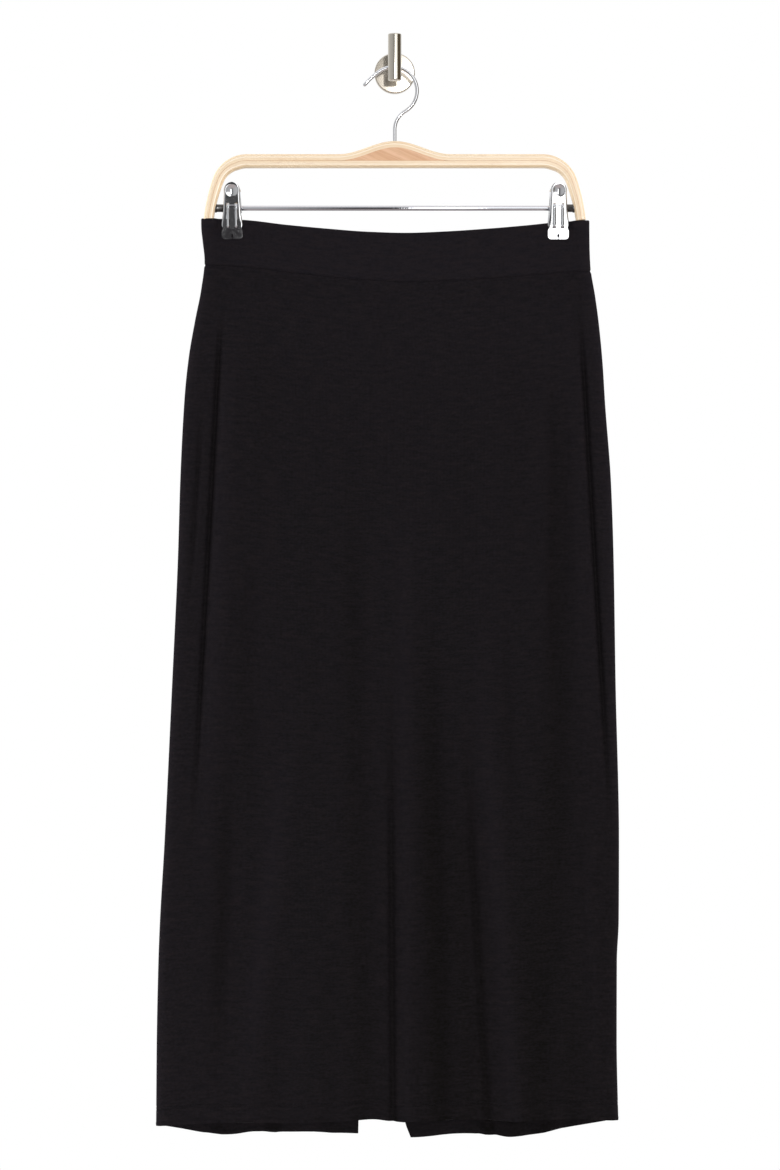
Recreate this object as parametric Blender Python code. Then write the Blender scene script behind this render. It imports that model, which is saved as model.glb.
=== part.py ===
"""A black jersey midi skirt with a wide waistband and a back slit, held by the two clips of a
laminated wood hanger that hangs on a round steel wall hook.

Metres, +Z up. The wall is the plane Y = 0 and the viewer stands at -Y. The origin is the centre of
the wall hook's plate where it lies on the wall. A "drop" is a distance below the origin.
"""

import math

import bmesh
import bpy
import numpy as np

MM = 0.001
GAP = 0.3 * MM

# Wall hook: a round plate, a short stem and an upright peg
PLATE_RADIUS = 18.8 * MM
PLATE_THICKNESS = 7 * MM
PLATE_EDGE = 1.6 * MM
STEM_RADIUS = 4 * MM
STEM_Z = -3.6 * MM
PEG_RADIUS = 6.2 * MM
PEG_Y = -37 * MM
PEG_BOTTOM = -11.8 * MM
PEG_TOP = 31.4 * MM
PEG_EDGE = 0.8 * MM

# Hanger: everything on it is centred on one upright plane in front of the wall
HANGER_Y = -27 * MM
WOOD_DEPTH = 10.5 * MM
WOOD_ROUND = 2.4 * MM
STRIP = 6.1 * MM
OUTER_STRIP_END = 4.1 * MM
INNER_STRIP_END = 4.7 * MM
BAR_TOP = -78.5 * MM
BAR_HALF = 136.6 * MM
CORNER_RADIUS = 33.3 * MM
CORNER_TURN = math.radians(71)
ARM_LENGTH = 39.4 * MM
ARM_TURN = math.radians(13)
HUMP_RISE = 12.1 * MM
HUMP_HALF = 52 * MM
INSERT_THINNEST = 0.6 * MM

WIRE_RADIUS = 1.7 * MM
WIRE_FOOT = -82 * MM
HOOK_RADIUS = 22 * MM
HOOK_CENTRE_X = -1.3 * MM
HOOK_FIRST_ANGLE = math.radians(-60)
HOOK_LAST_ANGLE = math.radians(124)
HOOK_TIP_LENGTH = 19 * MM
HOOK_TIP_RADIUS = 70 * MM

ROD_RADIUS = 2.4 * MM
ROD_Z = -128.2 * MM
FERRULE_RADIUS = 3.6 * MM
FERRULE_LENGTH = 6.4 * MM
FERRULE_CLEAR = 0.6 * MM

# Clips: two bent plates and a spring that rides over the rod
LEFT_CLIP_X = -150.2 * MM
RIGHT_CLIP_X = 151.2 * MM
CLIP_SHEET = 0.9 * MM
SPRING_SHEET = 0.7 * MM
WINDOW_TOP_DROP = 121.8 * MM
WINDOW_BOTTOM_DROP = 127 * MM
PRONG_INNER = 2.6 * MM
PRONG_OUTER = 5.1 * MM
SPRING_BOW = 3.6 * MM
DISH_DROP = 112.4 * MM
DISH_DEPTH = 1.7 * MM
DISH_RADIUS = 5.6 * MM

# Skirt
BAND_WALL = 1.6 * MM
PANEL_WALL = 1.2 * MM
WAIST_DROP = 137.8 * MM
SEAM_DROP = 183 * MM
HEM_DROP = 972 * MM
SEAM_LEAN = 0.0115
PINCH_X = 151 * MM
PINCH_HALF = 10.8 * MM
PINCH_OUTER_FADE = 5.5 * MM
PINCH_INNER_FADE = 95 * MM
PINCH_LEVEL = 166 * MM
PINCH_FADE = 110 * MM
PINCH_DEPTH = BAND_WALL + GAP / 2
PANEL_ROWS = 15
BAND_ROWS = 3
FOLD_SHOULDER = 1.1

# The closed cloth tube by level, in millimetres: the drop, how far it reaches left and right of the
# hanger's middle, how deep it is in front of and behind the hanger's plane, and how square it is
SECTION_COLUMNS = ("drop", "left", "right", "front", "back", "square")
SECTIONS = (
    (137.8, 179.0, 180.0, 11.4, 11.4, 5.0),
    (146.0, 178.9, 180.0, 11.4, 11.4, 5.0),
    (160.0, 177.6, 180.2, 11.4, 11.4, 4.6),
    (178.0, 175.9, 181.0, 11.6, 11.4, 4.2),
    (207.0, 179.3, 185.6, 13.0, 12.0, 3.6),
    (232.0, 184.3, 188.9, 14.5, 13.0, 3.4),
    (269.0, 190.7, 192.4, 16.0, 14.0, 3.2),
    (306.0, 194.5, 194.7, 17.0, 14.6, 3.1),
    (380.0, 198.4, 200.2, 18.0, 15.2, 3.0),
    (454.0, 200.7, 202.7, 19.0, 15.6, 2.9),
    (565.0, 205.8, 204.4, 20.5, 16.2, 2.9),
    (713.0, 213.0, 207.6, 22.0, 17.0, 2.8),
    (787.0, 217.3, 207.3, 22.7, 17.2, 2.8),
    (824.0, 218.7, 205.6, 23.0, 17.4, 2.8),
    (898.0, 220.2, 205.4, 23.5, 17.7, 2.8),
    (976.0, 220.8, 207.0, 24.0, 18.0, 2.8),
)

# Folds by row, in millimetres: where each starts and ends, its half width, and how far it is
# pressed in; a negative depth stands out. The last two are the lengths over which it fades
FOLD_COLUMNS = ("top", "bottom", "x_top", "x_bottom", "half", "depth", "fade_in", "fade_out")
FRONT_FOLDS = (
    (205, 690, -159, -184.5, 4.5, 7.0, 70, 110),
    (225, 800, -147, -172.5, 11.0, -3.4, 110, 260),
    (300, 470, -180, -189, 3.6, 2.6, 70, 80),
    (190, 700, 170, 201, 4.2, 6.0, 70, 130),
    (215, 780, 157, 186, 10.0, -2.8, 120, 260),
    (520, 1100, -3.4, -2.4, 4.2, 4.6, 200, 1),
    (330, 1100, 8.6, 10.0, 7.5, -2.6, 250, 1),
    (400, 1100, 30, 52, 13.0, 4.8, 300, 1),
    (560, 1100, 64, 98, 5.5, 5.6, 180, 1),
    (460, 1100, 80, 118, 10.0, -3.2, 260, 1),
    (240, 900, 146, 134, 9.0, 3.0, 140, 260),
    (560, 1000, -92, -143, 9.0, -2.8, 160, 160),
    (640, 960, -148, -176, 8.0, 3.2, 140, 160),
    (240, 980, -36, -48, 15.0, 2.2, 200, 200),
)
BACK_FOLDS = (
    (205, 720, -158, -186, 4.5, 5.5, 70, 160),
    (230, 800, -146, -173, 11.0, -2.2, 120, 260),
    (195, 640, 168, 194, 4.2, 5.0, 70, 150),
    (225, 760, 155, 180, 10.0, -2.0, 120, 260),
    (480, 1100, -94, -118, 8.0, 4.6, 240, 1),
    (420, 1100, -66, -84, 12.0, -2.4, 260, 1),
    (560, 1100, 70, 92, 6.5, 4.8, 200, 1),
    (400, 1100, 42, 58, 12.0, -2.2, 280, 1),
    (620, 1100, 128, 146, 9.0, 3.6, 200, 1),
    (600, 1100, -150, -166, 8.0, 3.0, 200, 1),
)

# The hem's drop across the skirt, in millimetres: the back hangs lower than the front
HEM_COLUMNS = ("x", "drop")
FRONT_HEM = (
    (-222, 976), (-190, 972.5), (-150, 970.5), (-90, 970.3), (-34, 967.9), (-19, 966.8),
    (2, 968.9), (30, 969.3), (69, 967.0), (100, 968.8), (125, 969), (160, 967.5), (207, 970.5),
)
BACK_HEM = (
    (-222, 976), (-197, 981), (-175, 985.2), (-152, 986.9), (-130, 984.5), (-97, 985), (-34, 986.6),
    (15.4, 990.3), (47, 987.9), (69, 986.6), (92, 987.6), (106, 989.6), (125, 987.6), (158, 980.6),
    (192, 974), (207, 970.5),
)

# How far the waistband's top edge sags below its ends, in millimetres
SAG_COLUMNS = ("x", "sag")
WAIST_SAG = (
    (-180, 0.2), (-158, 0.3), (-137, 1.4), (-100, 6.0), (-63, 9.9), (-26, 12.8), (10, 13.9),
    (47, 12.6), (84, 9.9), (121, 6.4), (150, 3.4), (170, 2.2), (181, 1.9),
)

# The two back panels' inner edges, in millimetres: a closed seam above the slit, then parting
SLIT_COLUMNS = ("drop", "left", "right")
SLIT_EDGES = (
    (138, 0.0, 0.0),
    (735, -5.5, -5.5),
    (770, -9.0, -4.6),
    (820, -16.0, -1.0),
    (880, -25.0, 3.6),
    (935, -32.0, 7.6),
    (960, -33.6, 10.0),
    (972, -33.8, 14.8),
)

# A clip plate by level, in millimetres: its drop, half width, how far its outer face stands from the
# hanger's plane, and how deep its edges are turned in
PLATE_COLUMNS = ("drop", "half", "offset", "flange")
CLIP_PLATE = (
    (105.3, 2.6, 12.6, 0.2),
    (106.6, 5.2, 12.3, 0.6),
    (109.0, 7.0, 11.8, 1.4),
    (112.4, 7.6, 11.0, 2.1),
    (115.6, 7.6, 10.2, 2.4),
    (118.5, 7.7, 9.6, 2.6),
    (121.8, 7.9, 8.9, 2.5),
    (127.0, 8.3, 7.7, 2.4),
    (135.0, 8.8, 5.9, 1.6),
    (143.5, 9.4, 4.1, 0.3),
    (146.0, 8.9, 3.5, 0.0),
    (148.4, 9.9, 3.0, 0.0),
    (155.6, 10.2, 3.0, 0.0),
    (157.6, 8.4, 3.0, 0.0),
)


def colour(hex_code):
    """A linear colour from its sRGB hex value."""
    parts = [int(hex_code[i : i + 2], 16) / 255 for i in (0, 2, 4)]
    linear = [p / 12.92 if p <= 0.04045 else ((p + 0.055) / 1.055) ** 2.4 for p in parts]
    return (*linear, 1.0)


def material(name, hex_code, roughness, metallic=0.0):
    made = bpy.data.materials.new(name)
    made.use_nodes = True
    shader = made.node_tree.nodes["Principled BSDF"]
    shader.inputs["Base Color"].default_value = colour(hex_code)
    shader.inputs["Roughness"].default_value = roughness
    shader.inputs["Metallic"].default_value = metallic
    return made


def smoothed(x):
    """0 below 0, 1 above 1, and an even curve between."""
    t = np.clip(x, 0, 1)
    return t * t * (3 - 2 * t)


def column(table, names, name):
    """One named column of a table in millimetres, in metres."""
    return np.array([row[names.index(name)] for row in table], float) * MM


def curve_through(x, xs, ys):
    """A smooth curve through the points (xs, ys) at x, that never overshoots them."""
    step = np.diff(xs)
    slope = np.diff(ys) / step
    tangent = np.zeros(len(xs))
    tangent[0], tangent[-1] = slope[0], slope[-1]
    same_way = slope[:-1] * slope[1:] > 0
    joined = np.where(same_way, slope[:-1] * slope[1:], 0)
    total = np.where(same_way, slope[:-1] + slope[1:], 1)
    tangent[1:-1] = 2 * joined / total
    at = np.clip(np.asarray(x, float), xs[0], xs[-1])
    i = np.clip(np.searchsorted(xs, at, side="right") - 1, 0, len(step) - 1)
    t = (at - xs[i]) / step[i]
    low = (1 + 2 * t) * (1 - t) ** 2 * ys[i] + t * (1 - t) ** 2 * step[i] * tangent[i]
    high = t * t * (3 - 2 * t) * ys[i + 1] - t * t * (1 - t) * step[i] * tangent[i + 1]
    return low + high


def add_object(name, mesh, finish, smooth_angle=35):
    mesh.materials.append(finish)
    mesh.shade_smooth()
    mesh.set_sharp_from_angle(angle=math.radians(smooth_angle))
    made = bpy.data.objects.new(name, mesh)
    bpy.context.scene.collection.objects.link(made)
    return made


def mesh_from(bm, name):
    mesh = bpy.data.meshes.new(name)
    bm.to_mesh(mesh)
    bm.free()
    return mesh


def turned(name, profile, finish, axis, centre, steps=32):
    """A solid turned about an axis: the profile is (radius, distance along the axis) pairs."""
    bm = bmesh.new()
    points = [bm.verts.new((radius, 0, along)) for radius, along in profile]
    for first, second in zip(points, points[1:]):
        bm.edges.new((first, second))
    if profile[0][0] > 0:
        bm.edges.new((points[-1], points[0]))
    bmesh.ops.spin(
        bm, geom=bm.verts[:] + bm.edges[:], cent=(0, 0, 0), axis=(0, 0, 1),
        angle=math.tau, steps=steps, use_merge=True,
    )
    bmesh.ops.remove_doubles(bm, verts=bm.verts, dist=1e-6)
    bmesh.ops.recalc_face_normals(bm, faces=bm.faces)
    made = add_object(name, mesh_from(bm, name), finish)
    made.rotation_euler = {"X": (0, math.pi / 2, 0), "Y": (-math.pi / 2, 0, 0), "Z": (0, 0, 0)}[axis]
    made.location = centre
    return made


def cut(target, radius, start, end):
    """Bores a round hole in the target from one point to another."""
    middle = [(a + b) / 2 for a, b in zip(start, end)]
    length = math.dist(start, end)
    bm = bmesh.new()
    bmesh.ops.create_cone(
        bm, cap_ends=True, segments=16, radius1=radius, radius2=radius, depth=length
    )
    cutter = bpy.data.objects.new(target.name + "_bore", mesh_from(bm, "bore"))
    bpy.context.scene.collection.objects.link(cutter)
    lies_along_x = abs(start[0] - end[0]) > abs(start[2] - end[2])
    cutter.rotation_euler = (0, math.pi / 2, 0) if lies_along_x else (0, 0, 0)
    cutter.location = middle
    cutter.hide_render = True
    cutter.display_type = "WIRE"
    bore = target.modifiers.new("Bore", "BOOLEAN")
    bore.operation = "DIFFERENCE"
    bore.solver = "EXACT"
    bore.object = cutter


def wall_between(name, outer, inner, finish, holes=(), smooth_angle=180):
    """A closed wall between two grids of points, rows by columns; the cells in holes are left out."""
    bm = bmesh.new()
    front, back = ([[bm.verts.new(tuple(p)) for p in row] for row in grid] for grid in (outer, inner))
    rows, columns = len(front) - 1, len(front[0]) - 1
    cells = {(r, c) for r in range(rows) for c in range(columns)} - set(holes)
    for r, c in cells:
        corners = ((r, c), (r + 1, c), (r + 1, c + 1), (r, c + 1))
        bm.faces.new([front[i][j] for i, j in corners])
        bm.faces.new([back[i][j] for i, j in reversed(corners)])
        neighbours = ((r, c - 1), (r + 1, c), (r, c + 1), (r - 1, c))
        for k, neighbour in enumerate(neighbours):
            if neighbour not in cells:
                (i, j), (m, n) = corners[k], corners[(k + 1) % 4]
                bm.faces.new((front[m][n], front[i][j], back[i][j], back[m][n]))
    loose = [vert for vert in bm.verts if not vert.link_faces]
    bmesh.ops.delete(bm, geom=loose, context="VERTS")
    bmesh.ops.recalc_face_normals(bm, faces=bm.faces)
    return add_object(name, mesh_from(bm, name), finish, smooth_angle)


def moved_in(grid, thickness, towards):
    """The grid's points moved along its own normals, to the side where the normal's Y has this sign."""
    points = np.array(grid, float)
    normal = np.cross(np.gradient(points, axis=0), np.gradient(points, axis=1))
    normal /= np.linalg.norm(normal, axis=2, keepdims=True)
    normal *= np.sign(normal[..., 1:2]) * towards
    return points + normal * thickness


# The wall hook


def build_wall_hook(steel):
    """A polished round plate screwed to the wall, with a brushed peg on a short stem."""
    edge = PLATE_RADIUS - PLATE_EDGE
    front = -PLATE_THICKNESS
    plate_profile = (
        (0, 0), (PLATE_RADIUS, 0), (PLATE_RADIUS, front + PLATE_EDGE),
        (edge + PLATE_EDGE * 0.7, front + PLATE_EDGE * 0.3), (edge, front), (0, front),
    )
    turned("wall_plate", plate_profile, steel, "Y", (0, 0, 0), steps=36)

    inner = PEG_RADIUS - PEG_EDGE
    peg_profile = (
        (0, PEG_BOTTOM), (inner, PEG_BOTTOM), (PEG_RADIUS, PEG_BOTTOM + PEG_EDGE),
        (PEG_RADIUS, PEG_TOP - PEG_EDGE), (inner, PEG_TOP), (0, PEG_TOP),
    )
    peg = turned("wall_peg", peg_profile, steel, "Z", (0, PEG_Y, 0), steps=28)
    stem_start = -PLATE_THICKNESS - GAP
    bm = bmesh.new()
    length = stem_start - PEG_Y
    bmesh.ops.create_cone(
        bm, cap_ends=True, segments=20, radius1=STEM_RADIUS, radius2=STEM_RADIUS, depth=length
    )
    stem = bpy.data.objects.new("wall_stem_guide", mesh_from(bm, "wall_stem"))
    bpy.context.scene.collection.objects.link(stem)
    stem.rotation_euler = (math.pi / 2, 0, 0)
    stem.location = (0, (stem_start + PEG_Y) / 2, STEM_Z)
    stem.hide_render = True
    stem.display_type = "WIRE"
    joined = peg.modifiers.new("Stem", "BOOLEAN")
    joined.operation = "UNION"
    joined.solver = "EXACT"
    joined.object = stem


# The hanger


def walk(start, heading, moves):
    """Points and headings along arcs and straight runs: each move is (length, turn, steps)."""
    x, z = start
    stations = [(x, z, heading)]
    for length, turn, steps in moves:
        for _ in range(steps):
            middle = heading + turn / steps / 2
            half = turn / steps / 2
            chord = length / steps * (math.sin(half) / half if half else 1)
            x += chord * math.cos(middle)
            z += chord * math.sin(middle)
            heading += turn / steps
            stations.append((x, z, heading))
    return stations


def wood_stations(humped):
    """Stations along the outer face of the hanger, left to right: (x, z, heading, share of the arm)."""
    corner = CORNER_RADIUS * CORNER_TURN
    moves = [
        (BAR_HALF - HUMP_HALF, 0, 2),
        (corner, -CORNER_TURN, 8),
        (ARM_LENGTH - 3 * MM, -ARM_TURN * 0.9, 4),
        (2 * MM, -ARM_TURN * 0.08, 1),
        (1 * MM, -ARM_TURN * 0.02, 1),
    ]
    right = walk((HUMP_HALF, BAR_TOP), 0.0, moves)
    arm_start = HUMP_HALF + (BAR_HALF - HUMP_HALF) + CORNER_RADIUS * math.sin(CORNER_TURN) * 0.4
    arm_end = right[-1][0]
    right = [(x, z, h, max(0.0, (x - arm_start) / (arm_end - arm_start))) for x, z, h in right]
    left = [(-x, z, -h, share) for x, z, h, share in reversed(right)]
    steps = 14 if humped else 2
    middle = []
    for i in range(1, steps):
        x = -HUMP_HALF + 2 * HUMP_HALF * i / steps
        middle.append((x, BAR_TOP + (hump(x) if humped else 0), hump_slope(x) if humped else 0.0, 0.0))
    return left + middle + right


def hump(x):
    """How far the top strip rises over the straight bar at x."""
    return HUMP_RISE / 2 * (1 + math.cos(math.pi * min(1.0, abs(x) / HUMP_HALF)))


def hump_slope(x):
    rise = -HUMP_RISE / 2 * math.pi / HUMP_HALF * math.sin(math.pi * x / HUMP_HALF)
    return math.atan(rise)


def wood_section(outer, inner, round_outer):
    """A strip's section as (distance in from the outer face, distance across), rounded on one side."""
    half = WOOD_DEPTH / 2
    thickness = inner - outer
    arc = [
        (WOOD_ROUND * (1 - math.cos(angle)), half - WOOD_ROUND * (1 - math.sin(angle)))
        for angle in (0, math.pi / 4, math.pi / 2)
    ]
    if round_outer:
        upper = arc + [(thickness, half)]
    else:
        upper = [(0.0, half)] + [(thickness - depth, across) for depth, across in reversed(arc)]
    lower = [(depth, -across) for depth, across in reversed(upper)]
    return [(outer + depth, across) for depth, across in upper + lower]


def build_strip(name, finish, humped, layer):
    """One bent strip of wood. Layer 0 is the outer one and layer 1 the inner one."""
    bm = bmesh.new()
    rings = []
    stations = wood_stations(humped)
    last = len(stations) - 1
    for index, (x, z, heading, share) in enumerate(stations):
        first = STRIP + (OUTER_STRIP_END - STRIP) * share
        second = STRIP + (INNER_STRIP_END - STRIP) * share
        start = 0.0 if layer == 0 else first + GAP
        stop = first if layer == 0 else first + GAP + second
        section = wood_section(start, stop, layer == 0)
        keep = {0: 0.7, 1: 0.9}.get(min(index, last - index), 1.0)
        middle = (start + stop) / 2
        ring = []
        for depth, across in section:
            inward = middle + (depth - middle) * keep
            ring.append(
                bm.verts.new(
                    (
                        x + inward * math.sin(heading),
                        HANGER_Y + across * keep,
                        z - inward * math.cos(heading),
                    )
                )
            )
        rings.append(ring)
    for a, b in zip(rings, rings[1:]):
        for i in range(len(a)):
            j = (i + 1) % len(a)
            bm.faces.new((a[i], a[j], b[j], b[i]))
    bm.faces.new(rings[0])
    bm.faces.new(rings[-1])
    bmesh.ops.recalc_face_normals(bm, faces=bm.faces)
    return add_object(name, mesh_from(bm, name), finish)


def build_insert(finish):
    """The wedge of darker wood glued between the two strips under the hump."""
    bottom = BAR_TOP - STRIP
    under = [
        (x + STRIP * math.sin(heading), z - STRIP * math.cos(heading) - GAP)
        for x, z, heading, _ in wood_stations(True)
        if abs(x) < HUMP_HALF
    ]
    under = [point for point in under if point[1] - bottom > INSERT_THINNEST]
    outline = [(under[0][0], bottom), (under[-1][0], bottom)] + under[::-1]
    half = WOOD_DEPTH / 2 - GAP
    bm = bmesh.new()
    face = bm.faces.new([bm.verts.new((x, HANGER_Y - half, z)) for x, z in outline])
    grown = bmesh.ops.extrude_face_region(bm, geom=[face])
    moved = [v for v in grown["geom"] if isinstance(v, bmesh.types.BMVert)]
    bmesh.ops.translate(bm, verts=moved, vec=(0, 2 * half, 0))
    bmesh.ops.recalc_face_normals(bm, faces=bm.faces)
    return add_object("hanger_insert", mesh_from(bm, "hanger_insert"), finish)


def wire_route():
    """The bent wire of the hanger's hook, from its foot in the wood to its tip."""
    centre_z = STEM_Z + STEM_RADIUS + GAP + WIRE_RADIUS - HOOK_RADIUS
    join_x = HOOK_CENTRE_X + HOOK_RADIUS * math.cos(HOOK_FIRST_ANGLE)
    join_z = centre_z + HOOK_RADIUS * math.sin(HOOK_FIRST_ANGLE)
    heading_at_join = HOOK_FIRST_ANGLE + math.pi / 2
    turn = math.pi / 2 - heading_at_join
    swan_radius = join_x / (1 - math.cos(turn))
    shank_top = join_z - swan_radius * math.sin(turn)
    sweep = HOOK_LAST_ANGLE - HOOK_FIRST_ANGLE
    moves = [
        (shank_top - WIRE_FOOT, 0, 3),
        (swan_radius * turn, -turn, 7),
        (HOOK_RADIUS * sweep, sweep, 22),
        (HOOK_TIP_LENGTH, HOOK_TIP_LENGTH / HOOK_TIP_RADIUS, 3),
    ]
    return [(x, HANGER_Y, z) for x, z, _ in walk((0, WIRE_FOOT), math.pi / 2, moves)]


def build_wire(name, route, radius, finish):
    curve = bpy.data.curves.new(name, "CURVE")
    curve.dimensions = "3D"
    curve.bevel_depth = radius
    curve.bevel_resolution = 2
    curve.use_fill_caps = True
    spline = curve.splines.new("POLY")
    spline.points.add(len(route) - 1)
    for point, place in zip(spline.points, route):
        point.co = (*place, 1)
    curve.materials.append(finish)
    made = bpy.data.objects.new(name, curve)
    bpy.context.scene.collection.objects.link(made)
    return made


def arm_faces(z):
    """Where the arm's inner face and its glue line cross the height z, right of the middle."""
    stations = [s for s in wood_stations(False) if s[0] > BAR_HALF]
    inner, glue = [], []
    for x, height, heading, share in stations:
        first = STRIP + (OUTER_STRIP_END - STRIP) * share
        second = STRIP + (INNER_STRIP_END - STRIP) * share
        for found, depth in ((glue, first), (inner, first + GAP + second)):
            found.append((height - depth * math.cos(heading), x + depth * math.sin(heading)))
    crossing = []
    for found in (inner, glue):
        heights = [h for h, _ in reversed(found)]
        places = [p for _, p in reversed(found)]
        crossing.append(float(np.interp(z, heights, places)))
    return crossing


def build_hanger(wood, core_wood, chrome, black_plastic):
    top = build_strip("hanger_outer_strip", wood, True, 0)
    bottom = build_strip("hanger_inner_strip", wood, False, 1)
    insert = build_insert(core_wood)
    build_wire("hanger_hook", wire_route(), WIRE_RADIUS, chrome)
    hole = WIRE_RADIUS + GAP
    hole_foot = (0, HANGER_Y, WIRE_FOOT - GAP)
    for wooden in (top, insert):
        cut(wooden, hole, hole_foot, (0, HANGER_Y, BAR_TOP + 30 * MM))

    inner, glue = arm_faces(ROD_Z)
    rod_end = glue - 2 * GAP
    rod_profile = ((0, -rod_end), (ROD_RADIUS, -rod_end), (ROD_RADIUS, rod_end), (0, rod_end))
    turned("hanger_rod", rod_profile, chrome, "X", (0, HANGER_Y, ROD_Z), steps=16)
    bore = ROD_RADIUS + GAP
    for side in (-1, 1):
        start = (side * (inner - 10 * MM), HANGER_Y, ROD_Z)
        end = (side * (glue + 0.5 * MM), HANGER_Y, ROD_Z)
        cut(bottom, bore, start, end)
    ferrule_middle = inner - GAP - FERRULE_CLEAR - FERRULE_LENGTH / 2
    half = FERRULE_LENGTH / 2
    ring = ((bore, -half), (FERRULE_RADIUS, -half), (FERRULE_RADIUS, half), (bore, half))
    for side, place in ((-1, "left"), (1, "right")):
        centre = (side * ferrule_middle, HANGER_Y, ROD_Z)
        turned("rod_ferrule_" + place, ring, black_plastic, "X", centre, steps=16)


# The clips


def plate_value(drop, name):
    drops = column(CLIP_PLATE, PLATE_COLUMNS, "drop")
    return float(np.interp(drop, drops, column(CLIP_PLATE, PLATE_COLUMNS, name)))


def build_plate(name, clip_x, facing, finish):
    """One bent clip plate. Facing is -1 for the front one and +1 for the back one."""
    drops = column(CLIP_PLATE, PLATE_COLUMNS, "drop")
    shares = (-1, -0.92, -0.72, -0.38, 0, 0.38, 0.72, 0.92, 1)
    grid = []
    for drop in drops:
        half = plate_value(drop, "half")
        flange = plate_value(drop, "flange")
        row = []
        for share in shares:
            x = share * half
            turned_in = flange if abs(share) == 1 else 0.12 * flange if abs(share) > 0.9 else 0.0
            reach = math.hypot(x, drop - DISH_DROP) / DISH_RADIUS
            dish = DISH_DEPTH * max(0.0, 1 - reach * reach)
            offset = plate_value(drop, "offset") - turned_in - dish
            row.append((clip_x + x, HANGER_Y + facing * offset, -drop))
        grid.append(row)
    window = {
        (r, c)
        for r in range(len(drops) - 1)
        for c in range(2, 6)
        if WINDOW_TOP_DROP < (drops[r] + drops[r + 1]) / 2 < WINDOW_BOTTOM_DROP
    }
    inner = moved_in(grid, CLIP_SHEET, -facing)
    return wall_between(name, grid, inner, finish, window, 50)


def build_spring(name, clip_x, finish):
    """The clip's flat spring: a bow over the rod with two prongs that press on each plate."""
    lie = GAP + SPRING_SHEET
    leg_drops = (145.5, 137.0, 128.6)
    leg = [(plate_value(d * MM, "offset") + lie, -d * MM) for d in leg_drops]
    shoulder = [(plate_value(124.8 * MM, "offset") + lie * 0.6, -125.4 * MM), (6.2 * MM, -123.6 * MM)]
    bow = [
        (SPRING_BOW * math.sin(angle), ROD_Z + 0.4 * MM + SPRING_BOW * math.cos(angle))
        for angle in (math.radians(65), math.radians(32), 0.0)
    ]
    half = leg + shoulder + bow
    outline = [(-offset, z) for offset, z in half] + [(offset, z) for offset, z in reversed(half[:-1])]
    run = np.array(outline)
    along = np.gradient(run, axis=0)
    along /= np.linalg.norm(along, axis=1, keepdims=True)
    inside = run + np.stack([along[:, 1], -along[:, 0]], axis=1) * SPRING_SHEET
    across = (-PRONG_OUTER, -PRONG_INNER, PRONG_INNER, PRONG_OUTER)
    outer, inner = (
        [[(clip_x + x, HANGER_Y + offset, z) for x in across] for offset, z in route]
        for route in (run, inside)
    )
    legs = len(leg)
    rows = len(outline) - 1
    slots = {(r, 1) for r in range(rows) if r < legs or r >= rows - legs}
    return wall_between(name, outer, inner, finish, slots, 40)


def build_clips(chrome):
    for x, place in ((LEFT_CLIP_X, "left"), (RIGHT_CLIP_X, "right")):
        build_plate(f"clip_{place}_front", x, -1, chrome)
        build_plate(f"clip_{place}_back", x, 1, chrome)
        build_spring(f"clip_{place}_spring", x, chrome)


# The skirt


def section_value(drop, name):
    drops = column(SECTIONS, SECTION_COLUMNS, "drop")
    values = column(SECTIONS, SECTION_COLUMNS, name)
    return float(curve_through(drop, drops, values))


def pinch(x, drop):
    """How far the clips press the cloth flat at x: 1 under a jaw, 0 away from it."""
    beside = np.abs(x) - PINCH_X
    outside = 1 - smoothed((beside - PINCH_HALF) / PINCH_OUTER_FADE)
    inside = 1 - 0.72 * smoothed((-beside - PINCH_HALF) / PINCH_INNER_FADE)
    across = np.where(beside > 0, outside, inside)
    return across * (1 - smoothed((drop - PINCH_LEVEL) / PINCH_FADE))


def relief(x, drop, folds):
    """How far the folds press the cloth in at x."""
    total = np.zeros_like(x)
    for row in folds:
        fold = dict(zip(FOLD_COLUMNS, (value * MM for value in row)))
        along = (drop - fold["top"]) / (fold["bottom"] - fold["top"])
        middle = fold["x_top"] + (fold["x_bottom"] - fold["x_top"]) * along
        starts = smoothed((drop - fold["top"]) / fold["fade_in"])
        ends = smoothed((fold["bottom"] - drop) / fold["fade_out"])
        total += fold["depth"] * starts * ends * np.exp(-(((x - middle) / fold["half"]) ** 2))
    return total


def half_tube(drop, behind, wall):
    """The front or back half of the cloth at a level: points of its outer and inner face, left to right."""
    left, right = -section_value(drop, "left"), section_value(drop, "right")
    deep = section_value(drop, "back" if behind else "front")
    square = section_value(drop, "square") / MM
    even = np.linspace(-1, 1, 1401)
    share = np.sign(even) * (1 - (1 - np.abs(even)) ** 3)
    x = (left + right) / 2 + (right - left) / 2 * share
    depth = deep * (1 - np.abs(share) ** square) ** (1 / square)
    held = pinch(x, drop)
    depth = depth * (1 - held) + np.minimum(depth, PINCH_DEPTH) * held
    depth = depth - relief(x, drop, BACK_FOLDS if behind else FRONT_FOLDS)
    facing = 1 if behind else -1
    outer = np.stack([x, HANGER_Y + facing * depth], axis=1)
    along = np.gradient(outer, axis=0)
    along /= np.linalg.norm(along, axis=1, keepdims=True)
    inward = np.stack([along[:, 1], -along[:, 0]], axis=1) * facing
    return outer, outer + inward * wall


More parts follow.
